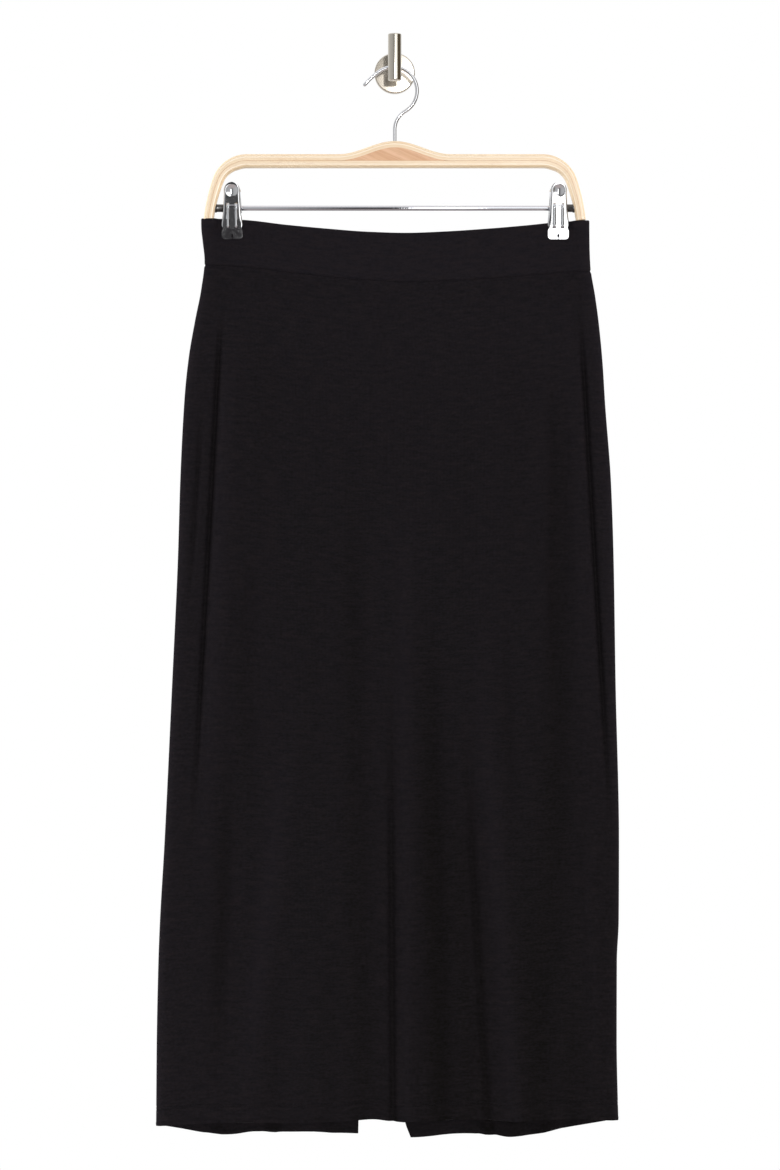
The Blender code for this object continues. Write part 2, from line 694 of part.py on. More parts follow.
def height(x, drop, behind):
    """The height of the cloth at x on the level that has this drop at the side seams."""
    hem = BACK_HEM if behind else FRONT_HEM
    lower = curve_through(x, column(hem, HEM_COLUMNS, "x"), column(hem, HEM_COLUMNS, "drop"))
    sag = curve_through(x, column(WAIST_SAG, SAG_COLUMNS, "x"), column(WAIST_SAG, SAG_COLUMNS, "sag"))
    down_band = min(1.0, (drop - WAIST_DROP) / (SEAM_DROP - WAIST_DROP))
    down_panel = max(0.0, (drop - SEAM_DROP) / (HEM_DROP - SEAM_DROP))
    upper = sag + SEAM_LEAN * x * down_band
    return -(drop + upper * (1 - down_panel) + (lower - HEM_DROP) * down_panel)


def slit_edge(drop, side):
    drops = column(SLIT_EDGES, SLIT_COLUMNS, "drop")
    return float(np.interp(drop, drops, column(SLIT_EDGES, SLIT_COLUMNS, side)))


def cloth_rows(drop, behind, wall, anchors, counts):
    """The outer and inner points of one row: even steps between anchors, which are places in x."""
    outer, inner = half_tube(drop, behind, wall)
    steps = np.hypot(*np.diff(outer, axis=0).T)
    run = np.concatenate([[0], np.cumsum(steps)])
    stops = np.interp(anchors, outer[:, 0], run)
    stops = np.clip(stops, GAP / 2, run[-1] - GAP / 2)
    at = [stops[0]]
    for low, high, count in zip(stops, stops[1:], counts):
        at += list(low + (high - low) * np.arange(1, count + 1) / count)
    rows = []
    for face in (outer, inner):
        x, y = np.interp(at, run, face[:, 0]), np.interp(at, run, face[:, 1])
        rows.append(np.stack([x, y, height(x, drop, behind)], axis=1))
    return rows


def fold_anchors(folds, index, drop):
    """The middle and both shoulders of a fold at a level, carried on past its ends inside the panel."""
    fold = dict(zip(FOLD_COLUMNS, (value * MM for value in folds[index])))
    along = (drop - fold["top"]) / (fold["bottom"] - fold["top"])
    middle = fold["x_top"] + (fold["x_bottom"] - fold["x_top"]) * along
    shoulder = FOLD_SHOULDER * fold["half"]
    room = shoulder + 4 * MM
    middle = max(room - section_value(drop, "left"), min(section_value(drop, "right") - room, middle))
    return [middle - shoulder, middle, middle + shoulder]


def panel_drops():
    """The levels of a panel's rows, closer together at the top and at the hem."""
    start = SEAM_DROP + GAP / 2
    even = np.linspace(0, 1, PANEL_ROWS + 1)
    eased = even - 0.05 * np.sin(2 * math.pi * even)
    return start + (HEM_DROP - start) * eased


def build_front_panel(finish):
    """The skirt's front, cut in one piece from side seam to side seam."""
    creases = (0, 5, 8, 3)
    counts = (4, 1, 1, 10, 1, 1, 4, 1, 1, 6, 1, 1, 4)
    outer, inner = [], []
    for drop in panel_drops():
        anchors = [-1.0]
        for index in creases:
            anchors += fold_anchors(FRONT_FOLDS, index, drop)
        anchors.append(1.0)
        rows = cloth_rows(drop, False, PANEL_WALL, anchors, counts)
        outer.append(rows[0])
        inner.append(rows[1])
    return wall_between("skirt_front", outer, inner, finish)


def build_back_panel(name, side, finish):
    """One half of the back, from its side seam to the centre seam and slit."""
    creases = (0, 4) if side == "left" else (6, 2)
    counts = (4, 1, 1, 4, 1, 1, 5) if side == "left" else (4, 1, 1, 5, 1, 1, 4)
    outer, inner = [], []
    for drop in panel_drops():
        edge = slit_edge(drop, side)
        anchors = [-1.0] if side == "left" else [edge + GAP / 2]
        for index in creases:
            anchors += fold_anchors(BACK_FOLDS, index, drop)
        anchors.append(edge - GAP / 2 if side == "left" else 1.0)
        rows = cloth_rows(drop, True, PANEL_WALL, anchors, counts)
        outer.append(rows[0])
        inner.append(rows[1])
    return wall_between(name, outer, inner, finish)


def build_waistband(name, behind, finish):
    """Half of the waistband: elastic inside a doubled strip, so it is thicker than the panels."""
    corner = (1.2 * MM, 4.5 * MM, 9.5 * MM)
    jaw_in, jaw_out = PINCH_X - PINCH_HALF, PINCH_X + PINCH_HALF
    fade = PINCH_OUTER_FADE
    counts = (2, 1, 1, 1, 2, 2, 14, 2, 2, 1, 1, 1, 2)
    outer, inner = [], []
    for drop in np.linspace(WAIST_DROP, SEAM_DROP - GAP / 2, BAND_ROWS + 1):
        left, right = -section_value(drop, "left"), section_value(drop, "right")
        anchors = [-1.0] + [left + inset for inset in corner] + [-jaw_out - fade, -jaw_out, -jaw_in]
        anchors += [jaw_in, jaw_out, jaw_out + fade] + [right - inset for inset in reversed(corner)]
        anchors.append(1.0)
        rows = cloth_rows(drop, behind, BAND_WALL, anchors, counts)
        outer.append(rows[0])
        inner.append(rows[1])
    return wall_between(name, outer, inner, finish)


def build_skirt(jersey):
    build_waistband("waistband_front", False, jersey)
    build_waistband("waistband_back", True, jersey)
    build_front_panel(jersey)
    build_back_panel("skirt_back_left", "left", jersey)
    build_back_panel("skirt_back_right", "right", jersey)


def main():
    for old in list(bpy.data.objects):
        bpy.data.objects.remove(old)
    steel = material("brushed_steel", "A8A296", 0.34, 1.0)
    wood = material("pale_laminate", "F2D9B2", 0.42)
    core_wood = material("beech_core", "DDB08C", 0.45)
    chrome = material("chrome_plate", "D9DADD", 0.08, 1.0)
    black_plastic = material("black_plastic", "2B2829", 0.3)
    jersey = material("black_jersey", "1B191B", 0.85)
    build_wall_hook(steel)
    build_hanger(wood, core_wood, chrome, black_plastic)
    build_clips(chrome)
    build_skirt(jersey)


main()
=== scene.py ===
"""A black jersey midi skirt held by the clips of a laminated wood hanger on a round steel wall hook.

Metres, +Z up. The wall is the plane Y = 0, the viewer stands at -Y, and a drop is a distance below
the centre of the wall hook's plate.
"""

import math

import bmesh
import bpy
import numpy as np
from mathutils import Matrix, Vector


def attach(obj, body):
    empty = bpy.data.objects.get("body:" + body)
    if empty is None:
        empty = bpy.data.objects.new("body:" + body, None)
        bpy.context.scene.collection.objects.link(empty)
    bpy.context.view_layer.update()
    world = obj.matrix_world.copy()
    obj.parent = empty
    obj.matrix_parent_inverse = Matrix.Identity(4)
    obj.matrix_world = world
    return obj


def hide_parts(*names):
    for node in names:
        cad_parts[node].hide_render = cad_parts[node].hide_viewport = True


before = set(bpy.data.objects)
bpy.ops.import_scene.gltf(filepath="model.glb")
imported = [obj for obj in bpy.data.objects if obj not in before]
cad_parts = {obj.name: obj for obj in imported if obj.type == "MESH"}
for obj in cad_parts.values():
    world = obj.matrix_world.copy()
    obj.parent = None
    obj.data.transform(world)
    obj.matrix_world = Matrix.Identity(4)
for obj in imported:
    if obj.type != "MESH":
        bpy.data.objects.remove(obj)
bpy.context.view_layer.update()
scene = bpy.context.scene

# ---------------------------------------------------------------------------------------------
# The view: a long lens level with the hips, three metres in front of the hanger.

VIEW_DISTANCE = 3.0
HALF_VIEW_HEIGHT = 0.5411
VIEW_X, VIEW_Y, VIEW_Z = -0.00435, -3.027, -0.4767

lens = bpy.data.cameras.new("long_lens")
lens.lens = lens.sensor_width / 2 * VIEW_DISTANCE / HALF_VIEW_HEIGHT
camera = bpy.data.objects.new("camera", lens)
camera.location = (VIEW_X, VIEW_Y, VIEW_Z)
camera.rotation_euler = (math.pi / 2, 0, 0)
scene.collection.objects.link(camera)
scene.camera = camera
scene.view_settings.view_transform = "Standard"

# ---------------------------------------------------------------------------------------------
# The studio: a small lamp beside the camera at the height of the hook, a white softbox and a window
# to the right of it, a dark corner past them and a dim left side. The metal parts show all of these.
# Two wide fills at the sides stand for the light that a white wall throws back. The pale floor lies
# below the view.


def hex_colour(code):
    """A linear colour from its sRGB hex value."""
    parts = [int(code[i : i + 2], 16) / 255 for i in (0, 2, 4)]
    return (*(p / 12.92 if p <= 0.04045 else ((p + 0.055) / 1.055) ** 2.4 for p in parts), 1)


def fill_sockets(tree, node, sockets):
    """Feeds each socket from another node's output, or sets it to a value or a hex colour."""
    for name, value in sockets.items():
        if isinstance(value, bpy.types.NodeSocket):
            tree.links.new(value, node.inputs[name])
        else:
            node.inputs[name].default_value = hex_colour(value) if isinstance(value, str) else value


def add_node(tree, kind, sockets=(), out=0, stops=(), **settings):
    """Adds a node with its settings, its sockets and its ramp's stops, and returns one output."""
    node = tree.nodes.new("ShaderNode" + kind)
    for name, value in settings.items():
        setattr(node, name, value)
    fill_sockets(tree, node, dict(sockets))
    if stops:
        line = node.color_ramp.elements
        while len(line) < len(stops):
            line.new(0.5)
        for element, (place, shade) in zip(line, stops):
            element.position = place
            element.color = shade if isinstance(shade, tuple) else (shade, shade, shade, 1)
    return node.outputs[out] if node.outputs else node


def by_bearing(*stops):
    """A ramp's stops over the bearing in degrees: 0 is the viewer's side and 90 the right."""
    return [((degrees + 180) / 360, level) for degrees, level in stops]


def by_rise(*stops):
    """A ramp's stops over the height of a direction, in degrees above level."""
    return [((math.sin(math.radians(degrees)) + 1) / 2, level) for degrees, level in stops]


studio = bpy.data.worlds.new("studio")
studio.use_nodes = True
scene.world = studio
air = studio.node_tree
air.nodes.clear()
looking = add_node(air, "TexCoord", out="Generated")
parts = add_node(air, "SeparateXYZ", {"Vector": looking}).node.outputs
ahead = add_node(air, "Math", {0: parts["Y"], 1: -1}, operation="MULTIPLY")
bearing = add_node(air, "Math", {0: parts["X"], 1: ahead}, operation="ARCTAN2")
turn = add_node(air, "MapRange", {"Value": bearing, "From Min": -math.pi, "From Max": math.pi})
rise = add_node(air, "MapRange", {"Value": parts["Z"], "From Min": -1, "From Max": 1})
walls = add_node(air, "ValToRGB", {"Fac": turn}, stops=by_bearing(
    (-180, 0.95), (-130, 0.9), (-95, 0.65), (-60, 0.58), (-20, 0.45), (-8, 0.14), (0, 0.07), (4, 0.3),
    (16, 0.5), (44, 0.45), (50, (0.13, 0.105, 0.075, 1)), (112, (0.11, 0.09, 0.065, 1)), (132, 0.85),
    (180, 0.95),
))
above_floor = add_node(air, "ValToRGB", {"Fac": rise}, stops=by_rise((-47, 0), (-35, 1)))
in_ceiling = add_node(air, "ValToRGB", {"Fac": rise}, stops=by_rise((30, 0), (46, 1)))
room = add_node(air, "Mix", {0: above_floor, 6: (0.5, 0.44, 0.43, 1), 7: walls}, 2, data_type="RGBA")
room = add_node(air, "Mix", {0: in_ceiling, 6: room, 7: (1.0, 1.0, 1.02, 1)}, 2, data_type="RGBA")

# The dark corner, the window and the softbox: how far each shows by bearing and by height, and its light
PATCHES = (
    (by_bearing((-10, 0), (-7, 1), (0.2, 1), (1.4, 0)),
     by_rise((-44, 0), (-39, 0.4), (-14, 0.4), (-8, 1), (6.6, 1), (7.8, 0)), (0.025, 0.023, 0.025, 1)),
    (by_bearing((11, 0), (14, 1), (44, 1), (47, 0)),
     by_rise((-6, 0), (-2, 1), (24, 1), (28, 0)), (1.7, 1.7, 1.7, 1)),
    (by_bearing((1.8, 0), (2.4, 1), (12, 1), (14, 0)),
     by_rise((-35, 0), (-31, 1), (22, 1), (26, 0)), (2.4, 2.39, 2.35, 1)),
)
for bearings, rises, light in PATCHES:
    across = add_node(air, "ValToRGB", {"Fac": turn}, stops=bearings)
    upright = add_node(air, "ValToRGB", {"Fac": rise}, stops=rises)
    both = {0: 1.0, 6: across, 7: upright}
    amount = add_node(air, "Mix", both, 2, data_type="RGBA", blend_type="MULTIPLY")
    room = add_node(air, "Mix", {0: amount, 6: room, 7: light}, 2, data_type="RGBA")
lit_room = add_node(air, "Background", {"Color": room})
backdrop = add_node(air, "Background", {"Color": (1, 1, 1, 1)})
seen = add_node(air, "LightPath", out="Is Camera Ray")
both = add_node(air, "MixShader", {0: seen, 1: lit_room, 2: backdrop})
add_node(air, "OutputWorld", {"Surface": both})

# Each lamp's strength, its spread in degrees, the way to it, and whether metal mirrors it
LAMPS = (
    ("lamp", 0.85, 2.5, (0.14, -1, 0.03), True),
    ("side_fill", 2.8, 50, (-1, 0.15, 0.1), False),
    ("side_fill", 2.8, 50, (1, 0.15, 0.1), False),
)
for name, strength, spread, towards, mirrored in LAMPS:
    lamp = bpy.data.lights.new(name, "SUN")
    lamp.energy = strength
    lamp.angle = math.radians(spread)
    stand = bpy.data.objects.new(name, lamp)
    stand.rotation_euler = Vector(towards).to_track_quat("Z", "Y").to_euler()
    stand.visible_glossy = mirrored
    scene.collection.objects.link(stand)

FLOOR_Y, FLOOR_Z = -0.03, -1.25
bm = bmesh.new()
bmesh.ops.create_circle(bm, cap_ends=True, radius=1.15, segments=96)
bmesh.ops.translate(bm, verts=bm.verts, vec=(0, FLOOR_Y, FLOOR_Z))
floor_mesh = bpy.data.meshes.new("pale_floor")
bm.to_mesh(floor_mesh)
bm.free()
floor = bpy.data.objects.new("pale_floor", floor_mesh)
scene.collection.objects.link(floor)
floor.visible_glossy = False
floor_paint = bpy.data.materials.new("matte_floor_paint")
floor_paint.use_nodes = True
tree = floor_paint.node_tree
place = add_node(tree, "TexCoord", out="Object")
out = add_node(tree, "VectorMath", {0: place, 1: (0, -FLOOR_Y, -FLOOR_Z)}, operation="ADD")
reach = add_node(tree, "VectorMath", {0: out}, "Value", operation="LENGTH")
fade = add_node(
    tree, "MapRange", {"Value": reach, "From Min": 0.5, "From Max": 1.12, "To Min": 1.0, "To Max": 0.0},
    interpolation_type="SMOOTHSTEP",
)
matte = {"Base Color": (0.86, 0.86, 0.85, 1), "Roughness": 0.9, "Alpha": fade}
fill_sockets(tree, tree.nodes["Principled BSDF"], matte)
floor_mesh.materials.append(floor_paint)

# ---------------------------------------------------------------------------------------------
# The wall hook's plate: a round stainless rosette with a satin face and a softly rounded rim, held
# flat on the wall. How it is fixed is hidden, so its face is plain.

MM = 0.001
PLATE_RADIUS = 18.8 * MM
PLATE_THICKNESS = 7 * MM


def new_finish(name, **sockets):
    """A material and its node tree, with these values on its shader."""
    made = bpy.data.materials.new(name)
    made.use_nodes = True
    shader = made.node_tree.nodes["Principled BSDF"]
    fill_sockets(made.node_tree, shader, {socket.replace("_", " "): v for socket, v in sockets.items()})
    return made, made.node_tree, shader


def lathe(profile, turned_to, centre, steps):
    """A round piece turned from a profile of (radius, distance along the axis) points."""
    bm = bmesh.new()
    points = [bm.verts.new((radius, 0, along)) for radius, along in profile]
    for pair in zip(points, points[1:]):
        bm.edges.new(pair)
    bmesh.ops.spin(
        bm, geom=bm.verts[:] + bm.edges[:], cent=(0, 0, 0), axis=(0, 0, 1),
        angle=math.tau, steps=steps, use_merge=True,
    )
    bmesh.ops.remove_doubles(bm, verts=bm.verts, dist=1e-6)
    axis = Vector((0, 0, 1)).rotation_difference(Vector(turned_to)).to_matrix()
    bmesh.ops.rotate(bm, cent=(0, 0, 0), matrix=axis, verts=bm.verts)
    bmesh.ops.translate(bm, verts=bm.verts, vec=centre)
    bmesh.ops.recalc_face_normals(bm, faces=bm.faces)
    return bm


def rounded(bm, edges, width, segments):
    bmesh.ops.bevel(
        bm, geom=edges, offset=width, offset_type="OFFSET", segments=segments, profile=0.5,
        affect="EDGES", material=-1, clamp_overlap=True,
    )


def sharp_edges(bm, sharper_than=35):
    """The edges whose faces turn by more than the angle."""
    limit = math.radians(sharper_than)
    return [e for e in bm.edges if len(e.link_faces) == 2 and e.calc_face_angle() > limit]


def put(bm, name, finish, slot, *stands_for, crease=40):
    """Links the mesh as a piece on the body, in the place of these CAD nodes."""
    mesh = bpy.data.meshes.new(name)
    bm.to_mesh(mesh)
    bm.free()
    mesh.materials.append(finish)
    mesh.shade_smooth()
    mesh.set_sharp_from_angle(angle=math.radians(crease))
    piece = bpy.data.objects.new(name, mesh)
    scene.collection.objects.link(piece)
    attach(piece, "root")
    if stands_for:
        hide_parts(*stands_for)
    return piece


# Satin stainless steel, turned and then brushed round in circles: it spreads the lamp's light over
# the whole face, and the fine rings break up its edge.
satin_steel, tree, shader = new_finish(
    "satin_turned_steel", Base_Color="CCC4B7", Metallic=1.0, Roughness=0.29
)
place = add_node(tree, "TexCoord", out="Object")
rings = add_node(
    tree, "TexWave", {"Vector": place, "Scale": 190, "Distortion": 1.2, "Detail": 2, "Detail Scale": 3},
    "Fac", wave_type="RINGS", rings_direction="Y",
)
cloudy = add_node(tree, "TexNoise", {"Vector": place, "Scale": 120, "Detail": 4})
spread = add_node(tree, "MapRange", {"Value": cloudy, "To Min": 0.26, "To Max": 0.32})
grooves = add_node(tree, "Bump", {"Height": rings, "Strength": 0.12, "Distance": 0.05 * MM})
fill_sockets(tree, shader, {"Roughness": spread, "Normal": grooves})

profile = (
    (0, 0), (PLATE_RADIUS - 0.6 * MM, 0), (PLATE_RADIUS - 0.6 * MM, 0.9 * MM),
    (PLATE_RADIUS, 0.9 * MM), (PLATE_RADIUS, PLATE_THICKNESS), (0, PLATE_THICKNESS),
)
bm = lathe(profile, (0, -1, 0), (0, 0, 0), 96)
rim = [
    e for e in bm.edges
    if all(abs(v.co.y + PLATE_THICKNESS) < 1e-6 and v.co.length > PLATE_RADIUS * 0.9 for v in e.verts)
    and abs(e.verts[0].co.xz.length - e.verts[1].co.xz.length) < 1e-5
]
rounded(bm, rim, 1.2 * MM, 5)
put(bm, "hook_rosette", satin_steel, "brushed_steel", "wall_plate")

# ---------------------------------------------------------------------------------------------
# The wall hook's peg: an upright stainless bar welded on a short round stem. It was brushed along
# its length, so what it mirrors is drawn out into upright bands.

STEM_Z = -3.6 * MM
PEG_Y = -37 * MM
PEG_BOTTOM = -11.8 * MM
PEG_TOP = 31.4 * MM
PEG_RADIUS = 6.2 * MM

brushed_steel, tree, shader = new_finish(
    "lengthwise_brushed_steel", Base_Color="CFC9BE", Metallic=1.0, Roughness=0.16
)
place = add_node(tree, "TexCoord", out="Object")
drawn_out = add_node(tree, "Mapping", {"Vector": place, "Scale": (1, 1, 0.04)})
streaks = add_node(tree, "TexNoise", {"Vector": drawn_out, "Scale": 2600, "Detail": 5, "Roughness": 0.7})
shade = add_node(tree, "Mix", {0: streaks, 6: "C4BDB0", 7: "DAD5CB"}, 2, data_type="RGBA")
fill_sockets(tree, shader, {"Base Color": shade})

profile = ((0, PEG_BOTTOM), (PEG_RADIUS, PEG_BOTTOM), (PEG_RADIUS, PEG_TOP), (0, PEG_TOP))
bm = lathe(profile, (0, 0, 1), (0, PEG_Y, 0), 72)
rounded(bm, sharp_edges(bm), 1.1 * MM, 5)
put(bm, "upright_peg", brushed_steel, "brushed_steel", "wall_peg")
STEM = (0, 0), (4.9, 0), (4.3, 0.5), (4, 1.4), (4, 30), (0, 30)
bm = lathe(np.array(STEM) * MM, (0, -1, 0), (0, -PLATE_THICKNESS + 0.1 * MM, STEM_Z), 48)
put(bm, "peg_stem", brushed_steel, "brushed_steel")

# ---------------------------------------------------------------------------------------------
# The hanger's two wood strips: beech veneers pressed together, steamed and bent over a form, then
# rounded and lacquered. The outer one humps over the middle and the inner one runs straight.

HANGER_Y = -27 * MM
WOOD_DEPTH = 10.5 * MM
BAR_TOP = -78.5 * MM
BAR_HALF = 136.6 * MM
CORNER_RADIUS = 33.3 * MM
CORNER_TURN = math.radians(71)
ARM_LENGTH = 39.4 * MM
ARM_TURN = math.radians(13)
HUMP_RISE = 12.1 * MM
HUMP_HALF = 52 * MM
STRIP = 6.1 * MM
GLUE = 0.3 * MM


def walk(start, heading, moves):
    """Points and headings along arcs and straight runs: each move is (length, turn, steps)."""
    x, z = start
    stations = [(x, z, heading)]
    for length, turn, steps in moves:
        for _ in range(steps):
            half = turn / steps / 2
            chord = length / steps * (math.sin(half) / half if half else 1)
            x += chord * math.cos(heading + half)
            z += chord * math.sin(heading + half)
            heading += 2 * half
            stations.append((x, z, heading))
    return stations


def lengths_along(points):
    """How far each point lies along the line of them all."""
    return np.concatenate([[0], np.cumsum(np.linalg.norm(np.diff(points, axis=0), axis=1))])


def hump(x):
    """How far the outer strip stands over the straight bar at x."""
    return HUMP_RISE / 2 * (1 + np.cos(math.pi * np.minimum(1.0, np.abs(x) / HUMP_HALF)))


def bent_line(humped):
    """The strips' outer line as an array of (distance, x, z, heading, share of the arm)."""
    moves = [
        (BAR_HALF - HUMP_HALF, 0, 30),
        (CORNER_RADIUS * CORNER_TURN, -CORNER_TURN, 30),
        (ARM_LENGTH, -ARM_TURN, 20),
    ]
    side = np.array(walk((HUMP_HALF, BAR_TOP), 0.0, moves))
    arm_start = BAR_HALF + CORNER_RADIUS * math.sin(CORNER_TURN) * 0.4
    share = np.clip((side[:, 0] - arm_start) / (side[-1, 0] - arm_start), 0, 1)
    right = np.column_stack([side, share])
    left = (right * (-1, 1, -1, 1))[::-1]
    x = np.linspace(-HUMP_HALF, HUMP_HALF, 61)[1:-1]
    rise = hump(x) * humped
    slope = -HUMP_RISE / 2 * math.pi / HUMP_HALF * np.sin(math.pi * x / HUMP_HALF) * humped
    middle = np.column_stack([x, BAR_TOP + rise, np.arctan(slope), 0 * x])
    line = np.concatenate([left, middle, right])
    run = lengths_along(line[:, :2])
    return np.column_stack([run - run[-1] / 2, line])


def bent_strip(name, humped, top, bottom, recess, finish, slot, *stands_for):
    """A strip made as a straight bar, with rounded edges, and then bent. Its top and bottom are how
    deep it lies under the outer line, each as (along the bar, at the arm's end)."""
    line = bent_line(humped)
    length = line[-1, 0] - line[0, 0]
    bm = bmesh.new()
    grain = bm.verts.layers.float_vector.new("grain")
    bmesh.ops.create_cube(bm, size=1.0)
    thick = top[0] - bottom[0]
    bmesh.ops.scale(bm, vec=(length, WOOD_DEPTH - 2 * recess, -thick), verts=bm.verts)
    bmesh.ops.translate(bm, verts=bm.verts, vec=(0, 0, -(top[0] + bottom[0]) / 2))
    bmesh.ops.recalc_face_normals(bm, faces=bm.faces)
    if not recess:
        ends = [e for e in bm.edges if abs(e.verts[0].co.x - e.verts[1].co.x) < length / 2]
        rounded(bm, ends, 1.3 * MM, 4)
        outer_face = -top[0] if top[0] == 0 else -bottom[0]
        edges = [
            e for e in bm.edges
            if abs(e.verts[0].co.x - e.verts[1].co.x) > length / 2
            and abs(e.verts[0].co.z - outer_face) < 0.1 * MM and abs(e.verts[0].co.y) > 4 * MM
        ]
        rounded(bm, edges, 2.4 * MM, 5)
    long_edges = [e for e in bm.edges if abs(e.verts[0].co.x - e.verts[1].co.x) > length / 2]
    bmesh.ops.subdivide_edges(bm, edges=long_edges, cuts=210, use_grid_fill=True)
    for vert in bm.verts:
        vert[grain] = vert.co
        at = vert.co.x
        x, z, heading, share = (float(np.interp(at, line[:, 0], line[:, i])) for i in (1, 2, 3, 4))
        through = (-vert.co.z - top[0]) / (bottom[0] - top[0])
        first = top[0] + (top[1] - top[0]) * share
        last = bottom[0] + (bottom[1] - bottom[0]) * share
        depth = first + (last - first) * through
        vert.co = (x + depth * math.sin(heading), HANGER_Y + vert.co.y, z - depth * math.cos(heading))
    return put(bm, name, finish, slot, *stands_for)


def wood_finish(name, pale, deep, pore, veneer_line, gloss):
    """Lacquered beech: long soft bands of grain with short darker pores, drawn along the strip."""
    made, tree, shader = new_finish(
        name, Roughness=gloss, Coat_Weight=0.25, Coat_Roughness=0.25, Specular_IOR_Level=0.4
    )
    along = add_node(tree, "Attribute", out="Vector", attribute_name="grain")
    bands_at = add_node(tree, "Mapping", {"Vector": along, "Scale": (9, 240, 330)})
    bands = add_node(tree, "TexNoise", {"Vector": bands_at, "Scale": 1, "Detail": 4, "Distortion": 0.3})
    evened = add_node(tree, "MapRange", {"Value": bands, "From Min": 0.36, "From Max": 0.66})
    pores_at = add_node(tree, "Mapping", {"Vector": along, "Scale": (70, 1500, 1900)})
    pores = add_node(tree, "TexNoise", {"Vector": pores_at, "Scale": 1, "Detail": 2})
    marks = add_node(tree, "MapRange", {"Value": pores, "From Min": 0.58, "From Max": 0.72, "To Max": 0.45})
    shade = add_node(tree, "Mix", {0: evened, 6: pale, 7: deep}, 2, data_type="RGBA")
    shade = add_node(tree, "Mix", {0: marks, 6: shade, 7: pore}, 2, data_type="RGBA")
    if veneer_line:
        level = add_node(tree, "SeparateXYZ", {"Vector": along}, "Z")
        apart = add_node(tree, "Math", {0: level, 1: veneer_line}, operation="SUBTRACT")
        away = add_node(tree, "Math", {0: apart}, operation="ABSOLUTE")
        line = add_node(
            tree, "MapRange",
            {"Value": away, "From Min": 0.15 * MM, "From Max": 0.6 * MM, "To Min": 0.75, "To Max": 0.0},
        )
        shade = add_node(tree, "Mix", {0: line, 6: shade, 7: "FFF3E2"}, 2, data_type="RGBA")
    raised = add_node(tree, "Bump", {"Height": pores, "Strength": 0.08, "Distance": 0.1 * MM})
    fill_sockets(tree, shader, {"Base Color": shade, "Normal": raised})
    return made


pale_beech = wood_finish("lacquered_beech_veneer", "F0DBBC", "E8CBA6", "D0A37C", -3.0 * MM, 0.38)
inner_beech = wood_finish("lacquered_beech_veneer_inner", "ECD6B7", "E3C79F", "CB9D79", -9.6 * MM, 0.38)
OUTER = (0.0, 0.0), (STRIP, 4.1 * MM)
INNER = (STRIP + GLUE, 4.1 * MM + GLUE), (2 * STRIP + GLUE, 8.8 * MM + GLUE)
bent_strip("outer_veneers", 1, *OUTER, 0, pale_beech, "pale_laminate", "hanger_outer_strip")
bent_strip("inner_veneers", 0, *INNER, 0, inner_beech, "pale_laminate", "hanger_inner_strip")

# The brown line of hardened glue between the strips, a little below the lacquered faces.
glue, tree, shader = new_finish("hardened_wood_glue", Roughness=0.5)
place = add_node(tree, "TexCoord", out="Object")
patches = add_node(tree, "TexNoise", {"Vector": place, "Scale": 90, "Detail": 3})
shade = add_node(tree, "Mix", {0: patches, 6: "B0784E", 7: "D8A87C"}, 2, data_type="RGBA")
fill_sockets(tree, shader, {"Base Color": shade})
GLUE_LINE = (STRIP - 0.05 * MM, 4.05 * MM), (STRIP + GLUE + 0.05 * MM, 4.15 * MM + GLUE)
bent_strip("glue_line", 0, *GLUE_LINE, 0.15 * MM, glue, "beech_core")

# ---------------------------------------------------------------------------------------------
# The wedge of darker beech that fills the space under the hump. It is sawn with its grain aslant
# and glued in flush with the strips, and its two ends run out to nothing.

line = bent_line(1)
under = line[np.abs(line[:, 1]) < HUMP_HALF]
under_x = under[:, 1] + STRIP * np.sin(under[:, 3])
under_z = under[:, 2] - STRIP * np.cos(under[:, 3])
bottom = BAR_TOP - STRIP
tall = under_z - bottom > 0.25 * MM
under_x, under_z = under_x[tall], under_z[tall]
bm = bmesh.new()
grain = bm.verts.layers.float_vector.new("grain")
bmesh.ops.create_grid(bm, x_segments=72, y_segments=1, size=1.0)
for vert in bm.verts:
    x = under_x[0] + (under_x[-1] - under_x[0]) * (vert.co.x + 1) / 2
    z = float(np.interp(x, under_x, under_z)) if vert.co.y > 0 else bottom
    vert.co = (x, HANGER_Y - WOOD_DEPTH / 2 + 0.12 * MM, z)
grown = bmesh.ops.extrude_face_region(bm, geom=bm.faces[:])["geom"]
moved = [v for v in grown if isinstance(v, bmesh.types.BMVert)]
bmesh.ops.translate(bm, verts=moved, vec=(0, WOOD_DEPTH - 0.24 * MM, 0))
bmesh.ops.recalc_face_normals(bm, faces=bm.faces)
aslant = Matrix.Rotation(math.radians(-24), 3, "Y")
for vert in bm.verts:
    vert[grain] = aslant @ vert.co
dark_beech = wood_finish("oiled_beech_core", "E4B893", "D3A178", "AF7C59", 0, 0.5)
put(bm, "hump_wedge", dark_beech, "beech_core", "hanger_insert")

# ---------------------------------------------------------------------------------------------
# The hanger's hook: hard steel wire, bent cold in one plane and bright chrome plated, with rounded
# ends. Its foot turns in a hole bored down through the hump.

WIRE_RADIUS = 1.7 * MM
WIRE_FOOT = -82 * MM
HOOK_RADIUS = 22 * MM
HOOK_CENTRE_X = -1.3 * MM
HOOK_TURN = math.radians(-60), math.radians(124)
TIP_LENGTH = 19 * MM
TIP_RADIUS = 70 * MM


